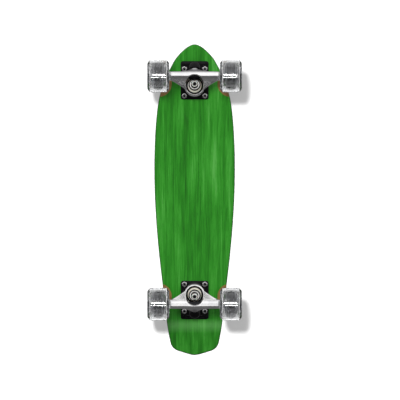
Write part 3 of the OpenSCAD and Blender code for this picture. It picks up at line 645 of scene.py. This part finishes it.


# Painted shade darkens the plating round the kingpin's socket, and a painted highlight draws a
# bright ring on each cup washer round the nut, with slightly darker painted shade beyond it
painted_socket_shade_zinc = ringed_steel("zinc_plated_steel_painted_socket_shade", (
    (0, "#161618"), (3.5, "#161618"), (3.9, "#c4c3c1")))
oxide_painted_highlight_ring = ringed_steel("black_oxide_steel_painted_highlight_ring", (
    (0, "#232324"), (7.6, "#232324"), (7.9, "#d8d7d4"), (9.3, "#d8d7d4"), (9.7, "#1a1a1c")))


def cup_washer(name, end, bush_radius, turn):
    """A pressed cup with a rounded shoulder, its flat face at the frame's z = 0."""
    bore, inner = KINGPIN_RADIUS + CUP_BORE_PLAY, bush_radius + CUP_RIM_PLAY
    outer, deep = inner + CUP_WALL, CUP_SHEET + CUP_LIP
    profile = ((bore, 0), (outer, 0), (outer, deep), (inner, deep), (inner, CUP_SHEET),
               (bore, CUP_SHEET))
    cup = make_piece(name, turned(profile, 72, kingpin_frame(end) @ turn, {
        1: CUP_SHOULDER, 4: CUP_SHOULDER / 3}), oxide_painted_highlight_ring)
    mark_off_axis(cup, end)
    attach(cup, "deck")
    return cup


for end in ENDS:
    pin = turned_copy(f"{end}_kingpin", "zinc", painted_socket_shade_zinc, "deck")
    mark_off_axis(pin, end)
    turned_copy(f"{end}_kingpin_nut", "steel", black_oxide, "deck", SOFT_EDGE)
    board_cup = cup_washer(f"{end}_boardside_washer_steel", end, BOARD_RADIUS,
                           Matrix.Translation((0, 0, SEAT_AT)))
    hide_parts(f"{end}_boardside_washer")
    road_cup = cup_washer(f"{end}_roadside_washer_steel", end, ROAD_RADIUS_OUT,
                          Matrix.Translation((0, 0, NUT_AT)) @ Matrix.Rotation(math.pi, 4, "X"))
    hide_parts(f"{end}_roadside_washer")
    top, inside = NUT_AT + NUT_HEIGHT, KINGPIN_RADIUS + NYLON_PLAY
    ring = ((inside, top - NYLON_DEEP), (NUT_COLLAR_RADIUS - NYLON_FLARE, top - NYLON_DEEP),
            (NUT_COLLAR_RADIUS + NYLON_FLARE, top + NYLON_RISE_OUT),
            (inside, top + NYLON_RISE_IN))
    nylon_ring = make_piece(f"{end}_kingpin_nut_nylon", turned(ring, 64, kingpin_frame(end)),
                            natural_nylon)
    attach(nylon_ring, "deck")


# ---------- Pivot cups ----------
# Black moulded plastic cups, pressed into sockets in the baseplates. The hangers' pivots turn
# in them.

# A moulded skin with a very fine speck, which gives an even and dull black
moulded_black, tree, shader = new_material("moulded_black_plastic", Roughness=0.5, IOR=1.46)
speck = scaled_pattern(tree, "TexNoise", (0.8, 0.8, 0.8), inputs={"Detail": 2.0})
link_tones(tree, shader, speck, "#17171a", "#232327")
link_bump(tree, shader, speck.outputs["Fac"], 0.03, 0.5)

for end in ENDS:
    cup = turned_copy(f"{end}_pivot_cup", "plastic", moulded_black, "deck")
    cup.visible_glossy = False


# ---------- Bushings ----------
# Cream cast urethane, slightly waxy. They squeeze as the truck leans, and sit
# between the deck and the truck along the kingpin.

BUSH_BORE = 5.06 * MM
BUSH_ROUND = 1.3 * MM
BARREL_BULGE = 0.12 * MM
# Where the cone's flank leaves its wide end and meets its narrow end: in or out, and along
FLANK_FROM, FLANK_TO = (0.25 * MM, 2.8 * MM), (0.4 * MM, 2.6 * MM)
NARROW_END, NARROW_ROUND = 1.9 * MM, 0.8 * MM

# Cast urethane is soft to the eye, because light goes into it and comes out again
cream_urethane, tree, shader = new_material("cast_cream_urethane", Roughness=0.38, IOR=1.5,
                                            Subsurface_Weight=0.25, Subsurface_Scale=0.004)
shader.inputs["Subsurface Radius"].default_value = (1.0, 0.8, 0.55)
haze = scaled_pattern(tree, "TexNoise", (7, 7, 7), inputs={"Detail": 3.0})
link_tones(tree, shader, haze, "#e9e4d2", "#f7f4e8")
link_bump(tree, shader, haze.outputs["Fac"], 0.05, 0.4)


def soft_corner(r, h, radius, start, segments=6):
    """Points of a rounded corner about (r, h), from a start angle through 90 degrees."""
    return [(r + radius * math.cos(math.radians(start + 90 * i / segments)),
             h + radius * math.sin(math.radians(start + 90 * i / segments)))
            for i in range(segments + 1)]


for end in ENDS:
    place = kingpin_frame(end)
    r, h, c = BOARD_RADIUS, BOARD_HEIGHT, BUSH_ROUND
    barrel = ([(BUSH_BORE, 0)] + soft_corner(r - c, c, c, -90)
              + [(r + BARREL_BULGE, h / 2)] + soft_corner(r - c, h - c, c, 0) + [(BUSH_BORE, h)])
    top = -(RING_THICK / 2 + BOARD_HEIGHT)
    boardside = make_piece(f"{end}_boardside_bushing_urethane", turned(
        barrel, 72, place @ Matrix.Translation((0, 0, top))), cream_urethane)
    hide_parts(f"{end}_boardside_bushing")
    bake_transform(boardside)
    wide, narrow, h = ROAD_RADIUS, ROAD_RADIUS_OUT, ROAD_HEIGHT
    cone = ([(BUSH_BORE, 0)] + soft_corner(wide - c, c, c, -90)
            + [(wide - FLANK_FROM[0], FLANK_FROM[1]), (narrow + FLANK_TO[0], h - FLANK_TO[1]),
               (narrow, h - NARROW_END)]
            + soft_corner(narrow - NARROW_ROUND, h - NARROW_ROUND, NARROW_ROUND, 0)
            + [(BUSH_BORE, h)])
    roadside = make_piece(f"{end}_roadside_bushing_urethane", turned(
        cone, 72, place @ Matrix.Translation((0, 0, RING_THICK / 2))), cream_urethane)
    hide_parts(f"{end}_roadside_bushing")
    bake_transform(roadside)


# ---------- Hangers ----------
# Cast aluminium, tumbled and polished: a soft satin skin with a faint cast grain. The bushing
# seats are left rough as cast and painted dark as shade, and the pivot's nose is half way between.

# Tumbling leaves a bright metal whose mirror images are a little blurred
satin_aluminium, tree, shader = new_material("polished_cast_aluminium", Metallic=1.0,
                                             Roughness=0.2)
cast_grain = scaled_pattern(tree, "TexNoise", (1.2, 1.2, 1.2), inputs={"Detail": 3.0})
wide = scaled_pattern(tree, "TexNoise", (22, 22, 22), inputs={"Detail": 3.0})
metal = colour_stops(tree, wide.outputs["Fac"], ((0.3, "#cfcfd1"), (0.7, "#e3e2e1")))
rough = add_node(tree, "MapRange", {"Value": cast_grain.outputs["Fac"], "To Min": 0.16,
                                    "To Max": 0.23})
# Seat depth is in mm, above 0 inside a seat and below it on the polished skin
# Painted shade: a dark tone in the seats, on the bore's edge and, half as strong, on the pivot's
# nose
painted_seat_shade = add_node(tree, "MapRange", {
    "Value": add_node(tree, "Attribute", attribute_name="seat_depth").outputs["Fac"],
    "From Min": -0.15, "From Max": 0.15}).outputs["Result"]
skin = add_node(tree, "Mix", {"Factor": painted_seat_shade, "A": metal, "B": linear("#2b2b2d")},
                data_type="RGBA")
tree.links.new(skin.outputs[2], shader.inputs["Base Color"])
skin_rough = add_node(tree, "Mix", {"Factor": painted_seat_shade, "A": rough.outputs["Result"], "B": 0.6},
                      data_type="FLOAT")
tree.links.new(skin_rough.outputs[0], shader.inputs["Roughness"])
link_bump(tree, shader, cast_grain.outputs["Fac"], 0.02, 0.12)

# Painted shade goes on the seats, within a rim's radius and above a skin's depth under the ring's
# face, and on the bore's edge. The pivot's nose begins this far outward of the axle
RIM_ROAD_RADIUS = 17.3 * MM
RIM_BOARD_RADIUS = 15.5 * MM
SKIN = 0.45 * MM
BORE_EDGE = 8 * MM
NOSE_FROM = 8.5 * MM

for end in ENDS:
    hanger = cast_copy(f"{end}_hanger", f"{end}_hanger_casting", satin_aluminium,
                       voxel_mm=0.6, rounds=12)
    to_kingpin = kingpin_frame(end).inverted()
    seats = hanger.data.attributes.new("seat_depth", "FLOAT", "POINT")
    spots = [to_kingpin @ v.co for v in hanger.data.vertices]
    i = ENDS.index(end)
    noses = [(TRUCK_MIDDLES[i] - v.co.x) * INWARD[i] - AXLE_OUT for v in hanger.data.vertices]
    seats.data.foreach_set("value", [max(
        min(p.z - RING_THICK / 2 + SKIN, RIM_ROAD_RADIUS - SKIN - math.hypot(p.x, p.y)),
        min(SKIN - RING_THICK / 2 - p.z, RIM_BOARD_RADIUS - SKIN - math.hypot(p.x, p.y)),
        BORE_EDGE - math.hypot(p.x, p.y),
        min(0, nose - NOSE_FROM)) / MM for p, nose in zip(spots, noses)])
    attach(hanger, f"{end}_truck")
    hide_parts(f"{end}_hanger")


# ---------- Axles, speed washers, spacers and axle nuts ----------
# A ground steel axle runs through each hanger. Washers and a spacer hold the inner races of
# each wheel's bearings in their places, and a zinc lock nut holds them on from outside.

# Grinding leaves bright steel with fine lines round it
bright_steel, tree, shader = new_material("ground_bearing_steel", Metallic=1.0, Roughness=0.2)
turning = scaled_pattern(tree, "TexNoise", (30, 0.4, 30), inputs={"Detail": 2.0})
link_tones(tree, shader, turning, "#b3b4b6", "#d2d2d3")

for end in ENDS:
    body = f"{end}_truck"
    turned_copy(f"{end}_axle", "steel", bright_steel, body)
    turned_copy(f"{end}_speed_washers", "steel", bright_steel, body)
    turned_copy(f"{end}_bearing_spacers", "aluminium", bright_steel, body)
    turned_copy(f"{end}_inner_races", "steel", bright_steel, body)
    turned_copy(f"{end}_axle_nuts", "zinc", zinc_plate, body, SOFT_EDGE)


# ---------- Bearings ----------
# Ground steel races and balls under pressed steel shields, with nylon ribbon cages. The
# outer races are pressed into the cores, and the balls and their cages go round between.

WHEELS = ("front_left", "front_right", "rear_left", "rear_right")

for wheel in WHEELS:
    turned_copy(f"{wheel}_outer_races", "steel", bright_steel, f"{wheel}_wheel")
    turned_copy(f"{wheel}_bearing_shields", "steel", bright_steel, f"{wheel}_wheel")
    turned_copy(f"{wheel}_bearing_balls", "steel", bright_steel, f"{wheel}_balls")
    turned_copy(f"{wheel}_bearing_cages", "nylon", natural_nylon, f"{wheel}_balls")


# ---------- Cores ----------
# Glass-filled nylon, moulded first as a crowned and grooved drum that the tyre grips, on a
# hub that the bearings are pressed into. Flow lines run round it.

CORE_RADIUS = 19.5 * MM
CORE_RIM_RADIUS = 16 * MM
CORE_RIM = 9.5 * MM
CORE_HUB_RADIUS = 13.5 * MM
CORE_HALF = 12 * MM
SEAT_RADIUS = 11.02 * MM
SEAT_FROM = 5 * MM
CORE_BORE = 9 * MM
GROOVE_WIDTH, GROOVE_DEPTH, GROOVE_PITCH = 1.6 * MM, 1.2 * MM, 4.75 * MM
CROWN_STEPS = 6
WHEEL_Z = 32.5 * MM

# The glass fibres give a dull grey with paler streaks where the melt flowed
filled_nylon, tree, shader = new_material("moulded_glass_filled_nylon", Roughness=0.55, IOR=1.53)
flow = scaled_pattern(tree, "TexNoise", (40, 0.8, 40), inputs={"Detail": 4.0, "Roughness": 0.65})
nylon = colour_stops(tree, flow.outputs["Fac"],
                     ((0.3, "#48484c"), (0.55, "#5b5b5f"), (0.72, "#737377")))
# Painted light makes the drum's shoulders paler than its middle
aside = add_node(tree, "Attribute", attribute_name="from_middle").outputs["Fac"]
shoulder = add_node(tree, "MapRange", {"Value": aside, "From Min": 7.5, "From Max": 8.0})
drum = add_node(tree, "Mix", {"Factor": shoulder.outputs["Result"], "A": nylon,
                              "B": linear("#8a8a8e")}, data_type="RGBA")
tree.links.new(drum.outputs[2], shader.inputs["Base Color"])
link_bump(tree, shader, flow.outputs["Fac"], 0.05, 0.5)


def wheel_frame(wheel):
    """From the wheel's middle, with z outward along the axle."""
    end, side = wheel.split("_")
    i, s = ENDS.index(end), 1 if side == "left" else -1
    return (Matrix.Translation((TRUCK_MIDDLES[i] - INWARD[i] * AXLE_OUT, s * WHEEL_MIDDLE_Y,
                                WHEEL_Z)) @ Matrix.Rotation(math.radians(-90 * s), 4, "X"))


def crown(z):
    """The drum's radius at z from the middle of the wheel."""
    return CORE_RADIUS - (CORE_RADIUS - CORE_RIM_RADIUS) * (z / CORE_RIM) ** 2


def land(low, high):
    """The crown's points between two grooves, with the walls down to their floors."""
    steps = [low + (high - low) * k / CROWN_STEPS for k in range(CROWN_STEPS + 1)]
    points = [(crown(z), z) for z in steps]
    if low > -CORE_RIM:
        points.insert(0, (crown(low - GROOVE_WIDTH / 2) - GROOVE_DEPTH, low))
    if high < CORE_RIM:
        points.append((crown(high + GROOVE_WIDTH / 2) - GROOVE_DEPTH, high))
    return points


edges_of_grooves = [-CORE_RIM] + [g * GROOVE_PITCH + side * GROOVE_WIDTH / 2
                                  for g in (-1, 0, 1) for side in (-1, 1)] + [CORE_RIM]
skin = [(CORE_HUB_RADIUS, -CORE_HALF), (CORE_HUB_RADIUS, -CORE_RIM)]
for low, high in zip(edges_of_grooves[::2], edges_of_grooves[1::2]):
    skin += land(low, high)
skin += [(CORE_HUB_RADIUS, CORE_RIM), (CORE_HUB_RADIUS, CORE_HALF)]
core_profile = skin + [(SEAT_RADIUS, CORE_HALF), (SEAT_RADIUS, SEAT_FROM), (CORE_BORE, SEAT_FROM),
                       (CORE_BORE, -SEAT_FROM), (SEAT_RADIUS, -SEAT_FROM),
                       (SEAT_RADIUS, -CORE_HALF)]
for wheel in WHEELS:
    core = make_piece(f"{wheel}_core_nylon", turned(core_profile, 96, wheel_frame(wheel)),
                      filled_nylon, smooth_angle=25)
    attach(core, f"{wheel}_wheel")
    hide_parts(f"{wheel}_core")


# ---------- Tyres ----------
# Smoke-clear urethane cast round the core and turned to a flat tread with bevelled lips. It
# is bonded to the core, which shows through it, magnified.

WHEEL_RADIUS = 32.5 * MM
WHEEL_HALF = 22.5 * MM
LIP_WIDTH = 6 * MM
LIP_HEIGHT = 7 * MM
TREAD_CUT = 1.6 * MM
LIP_CUT = 1.85 * MM
RECESS_RADIUS = 15 * MM
DISH_FLOOR = 0.8 * MM
# Urethane wets the core, so the wall between them shows the nylon and no air
BOND = 1.003
# The bonded wall is what lies within this radius, or within a hair of the hub or the drum
WALL_EDGE = CORE_RADIUS + 0.5 * MM
HAIR = 0.1 * MM
FLOOR_AT = CORE_HALF - HAIR
# The painted highlight line is where the tread's round corners lean this much
EDGE_LEAN = (0.3, 0.55)

# Cast and turned urethane is as clear as glass, with a faint cloud of smoke
clear_urethane, tree, shader = new_material("clear_smoke_urethane", Roughness=0.1, IOR=1.49,
                                            Transmission_Weight=1.0)
smoke = scaled_pattern(tree, "TexNoise", (9, 9, 9), inputs={"Detail": 3.0})
link_tones(tree, shader, smoke, "#eceeef", "#f6f7f8")
# The smoke is in the urethane itself, so it darkens with the depth that one looks through
depth = add_node(tree, "VolumeAbsorption", {"Color": linear("#8f9092"), "Density": 27.0})
tree.links.new(depth.outputs[0], tree.nodes["Material Output"].inputs["Volume"])
# A painted highlight: the tread's corners are coloured white, so they look lit all round
painted_edge_highlight, tree, shader = new_material("urethane_painted_edge_highlight", Roughness=0.4, IOR=1.49)
shader.inputs["Base Color"].default_value = linear("#f0f0f0")

w, r = WHEEL_HALF, WHEEL_RADIUS
outside = [(r, w - LIP_WIDTH), (r - LIP_HEIGHT, w), (RECESS_RADIUS, CORE_HALF + DISH_FLOOR),
           (RECESS_RADIUS, FLOOR_AT), (CORE_HUB_RADIUS * BOND, FLOOR_AT)]
tyre_profile = (outside + [(x * BOND, z * BOND) for x, z in reversed(skin[1:-1])]
                + [(x, -z) for x, z in reversed(outside)])
last = len(tyre_profile) - 1
lip_corners = {0: TREAD_CUT, 1: LIP_CUT, last - 1: LIP_CUT, last: TREAD_CUT}
for wheel in WHEELS:
    shape = turned(tyre_profile, 144, wheel_frame(wheel), lip_corners)
    into = wheel_frame(wheel).inverted()
    for face in shape.faces:
        middle, normal = into @ face.calc_center_median(), into.to_3x3() @ face.normal
        out = math.hypot(middle.x, middle.y)
        on_drum = abs(middle.z) < CORE_RIM + HAIR and out < WALL_EDGE
        if on_drum or out < CORE_HUB_RADIUS + HAIR:
            face.material_index = 1
        elif out > r - TREAD_CUT and EDGE_LEAN[0] < abs(normal.z) < EDGE_LEAN[1]:
            face.material_index = 2
    tyre = make_piece(f"{wheel}_tyre_urethane", shape, clear_urethane)
    tyre.data.materials.append(filled_nylon)
    tyre.data.materials.append(painted_edge_highlight)
    aside = tyre.data.attributes.new("from_middle", "FLOAT", "POINT")
    aside.data.foreach_set("value", [abs((into @ v.co).z) / MM for v in tyre.data.vertices])
    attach(tyre, f"{wheel}_wheel")
    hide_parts(f"{wheel}_tyre")


# ---------- Studio ----------
# A pale backdrop behind the board, a pale floor under it, and soft lights on both sides.
# What shines mirrors a tent of cloth all round, and cards that stand in it.

BACKDROP_Z = cad_high.z + 3 * MM
STAGE_HALF = 6.0

studio_white, tree, shader = new_material("studio_floor_paint", Roughness=0.9,
                                          Specular_IOR_Level=0.0)
shader.inputs["Base Color"].default_value = linear("#f2f2f2")
# The backdrop glows by itself to the tone of its shadows, and its own lamp does the rest
backdrop_card, card_tree, card_shader = new_material("backdrop_card", Roughness=0.9,
                                                     Specular_IOR_Level=0.0)
card_shader.inputs["Base Color"].default_value = linear("#5f5f5f")
for surface_tree, surface, strength in ((tree, shader, 0.06), (card_tree, card_shader, 0.38)):
    facing = add_node(surface_tree, "NewGeometry").outputs["Backfacing"]
    clear = add_node(surface_tree, "BsdfTransparent")
    glow = add_node(surface_tree, "Emission", {"Color": linear("#ffffff"), "Strength": strength})
    lit = add_node(surface_tree, "AddShader", {0: surface.outputs[0], 1: glow.outputs[0]})
    one_sided = add_node(surface_tree, "MixShader", {0: facing, 1: lit.outputs[0],
                                                     2: clear.outputs[0]})
    surface_tree.links.new(one_sided.outputs[0],
                           surface_tree.nodes["Material Output"].inputs["Surface"])


def stage_plane(name, z, facing_up, material):
    """A square sheet for the lens to see, on the side that it faces."""
    plane = bmesh.new()
    bmesh.ops.create_grid(plane, x_segments=1, y_segments=1, size=STAGE_HALF)
    if not facing_up:
        bmesh.ops.reverse_faces(plane, faces=plane.faces)
    bmesh.ops.translate(plane, vec=(0, 0, z), verts=plane.verts)
    mesh = bpy.data.meshes.new(name)
    plane.to_mesh(mesh)
    plane.free()
    made = bpy.data.objects.new(name, mesh)
    bpy.context.scene.collection.objects.link(made)
    mesh.materials.append(material)
    # It stands only for what the lens sees: the lights pass it, and it throws no light back
    made.visible_shadow = False
    made.visible_diffuse = False
    made.visible_glossy = False
    made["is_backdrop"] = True
    return made


stage_plane("floor", 0, True, studio_white)
backdrop = stage_plane("backdrop", BACKDROP_Z, False, backdrop_card)


def soft_light(name, place, aim, size, power, mirrored=False):
    """A lamp that the lens can't see, with its long side across the board."""
    lamp = bpy.data.lights.new(name, "AREA")
    lamp.shape, lamp.size, lamp.size_y = "RECTANGLE", size[0], size[1]
    lamp.energy = power
    made = bpy.data.objects.new(name, lamp)
    bpy.context.scene.collection.objects.link(made)
    made.location = place
    made.rotation_mode = "QUATERNION"
    made.rotation_quaternion = (Vector(aim) - Vector(place)).to_track_quat("-Z", "Y")
    made.visible_camera = False
    made.visible_glossy = mirrored
    return made


def light_only(lamp, receivers, blockers=None):
    """Links a lamp to the pieces that it lights, and to those that cast its shadows."""
    lit = bpy.data.collections.new(f"{lamp.name}_lights")
    for piece in receivers:
        lit.objects.link(piece)
    lamp.light_linking.receiver_collection = lit
    if blockers:
        dark = bpy.data.collections.new(f"{lamp.name}_shadows")
        for piece in blockers:
            dark.objects.link(piece)
        lamp.light_linking.blocker_collection = dark


BOARD_MIDDLE = (0, 0, 0.09)
KEY_DISTANCE = 3.0
key_from = Vector((0.30, -0.13, -1.0)).normalized() * KEY_DISTANCE
soft_light("key_below", key_from, BOARD_MIDDLE, (0.9, 0.9), 48)
soft_light("key_above", Vector((0.4, -0.5, 1.0)).normalized() * KEY_DISTANCE, BOARD_MIDDLE,
           (1.2, 1.2), 48)
# A far lamp lights the backdrop, and only the tyres throw their shadows on it
tyres = [bpy.data.objects[f"{wheel}_tyre_urethane"] for wheel in WHEELS]
BACKDROP_LAMP_FROM = (2.67, -1.44, -9.5)
light_only(soft_light("backdrop_lamp", BACKDROP_LAMP_FROM, BOARD_MIDDLE, (1.22, 1.22), 7700),
           [backdrop], tyres)


def mirrored_card(name, place, angles, distance, length, radiance, receivers):
    """A card that only the receivers mirror, between two angles from straight down to the
    nose. It lies across the board."""
    low_angle, high_angle = (math.radians(a) for a in angles)
    middle, half = (low_angle + high_angle) / 2, (high_angle - low_angle) / 2
    away = Vector((math.sin(middle), 0, -math.cos(middle)))
    width = 2 * distance * math.tan(half)
    card = soft_light(name, place + away * distance, place, (length, width),
                      radiance * math.pi * length * width, True)
    card.rotation_quaternion = Matrix(((0, -away.z, away.x), (1, 0, 0),
                                       (0, away.x, away.z))).to_quaternion()
    card.visible_diffuse = False
    card.visible_transmission = False
    light_only(card, receivers)


# Two strips draw the bright lines across the treads, and cards on both sides lift their edges.
# Each has its angles in degrees, its distance and length in metres, and its radiance
TYRE_CARDS = (("tread_strip_a", (4.4, 10.0), 12.0, 2.4, 120),
              ("tread_strip_b", (-10.6, -8.7), 12.0, 2.4, 200),
              ("tail_card_low", (-70.0, -34.0), 3.0, 3.0, 1.2),
              ("tail_card_high", (-102.0, -70.0), 3.0, 3.0, 2.6),
              ("nose_card_high", (70.0, 102.0), 3.0, 3.0, 1.5),
              ("tail_rim_card", (-150.0, -102.0), 3.0, 3.0, 3.6),
              ("nose_rim_card", (102.0, 150.0), 3.0, 3.0, 3.6))
wheels_middle = Vector((0, 0, WHEEL_Z))
for name, angles, distance, length, radiance in TYRE_CARDS:
    mirrored_card(name, wheels_middle, angles, distance, length, radiance, tyres)

# The rear hanger and its nut's washer have a white card of their own, out towards the tail
rear_axle = Vector((TRUCK_MIDDLES[1] - AXLE_OUT, 0, WHEEL_Z))
mirrored_card("rear_card", rear_axle, (-44.0, 0.0), 1.5, 3.0, 1.2,
              [bpy.data.objects[f"rear_{piece}"] for piece in (
                  "hanger_casting", "roadside_washer_steel", "kingpin_zinc")])

# The lens and the clear urethane see plain white all round, rough surfaces get a soft fill,
# and shiny ones mirror a tent: grey towards the tail, white towards the nose, grey above
FILL, MIRRORED = 0.5, 1.45

world = bpy.data.worlds.new("studio")
bpy.context.scene.world = world
world.use_nodes = True
tree = world.node_tree
tree.nodes.clear()
path = add_node(tree, "LightPath")
direction = add_node(tree, "TexCoord").outputs["Generated"]
axes = add_node(tree, "SeparateXYZ", {"Vector": direction})
along = axes.outputs["X"]
towards_nose = add_node(tree, "MapRange", {"Value": along, "From Min": -1.0, "From Max": 1.0})
sweep = colour_stops(tree, towards_nose.outputs["Result"], (
    (0.0, "#5c5c5c"), (0.30, "#565656"), (0.555, "#5a5a5a"), (0.57, "#ffffff"),
    (0.97, "#ffffff"), (1.0, "#d0d0d0")))
fill = add_node(tree, "Background", {"Color": linear("#ffffff"), "Strength": FILL})
above = add_node(tree, "MapRange", {"Value": axes.outputs["Z"], "From Min": 0.35, "From Max": 0.7})
tent = add_node(tree, "Mix", {"Factor": above.outputs["Result"], "A": sweep,
                              "B": linear("#6c6c6c")}, data_type="RGBA")
mirror = add_node(tree, "Background", {"Color": tent.outputs[2], "Strength": MIRRORED})
white = add_node(tree, "Background", {"Color": linear("#ffffff"), "Strength": 1.0})
shiny = add_node(tree, "MixShader", {0: path.outputs["Is Glossy Ray"], 1: fill.outputs[0],
                                     2: mirror.outputs[0]})
seen = add_node(tree, "Math", {0: path.outputs["Is Camera Ray"],
                               1: path.outputs["Is Transmission Ray"]}, operation="MAXIMUM")
both = add_node(tree, "MixShader", {0: seen.outputs[0], 1: shiny.outputs[0], 2: white.outputs[0]})
add_node(tree, "OutputWorld", {"Surface": both.outputs[0]})


# ---------- Sizes and the end ----------
# The whole object's box is worked out in metres, as the box of its CAD was.

low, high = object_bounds()
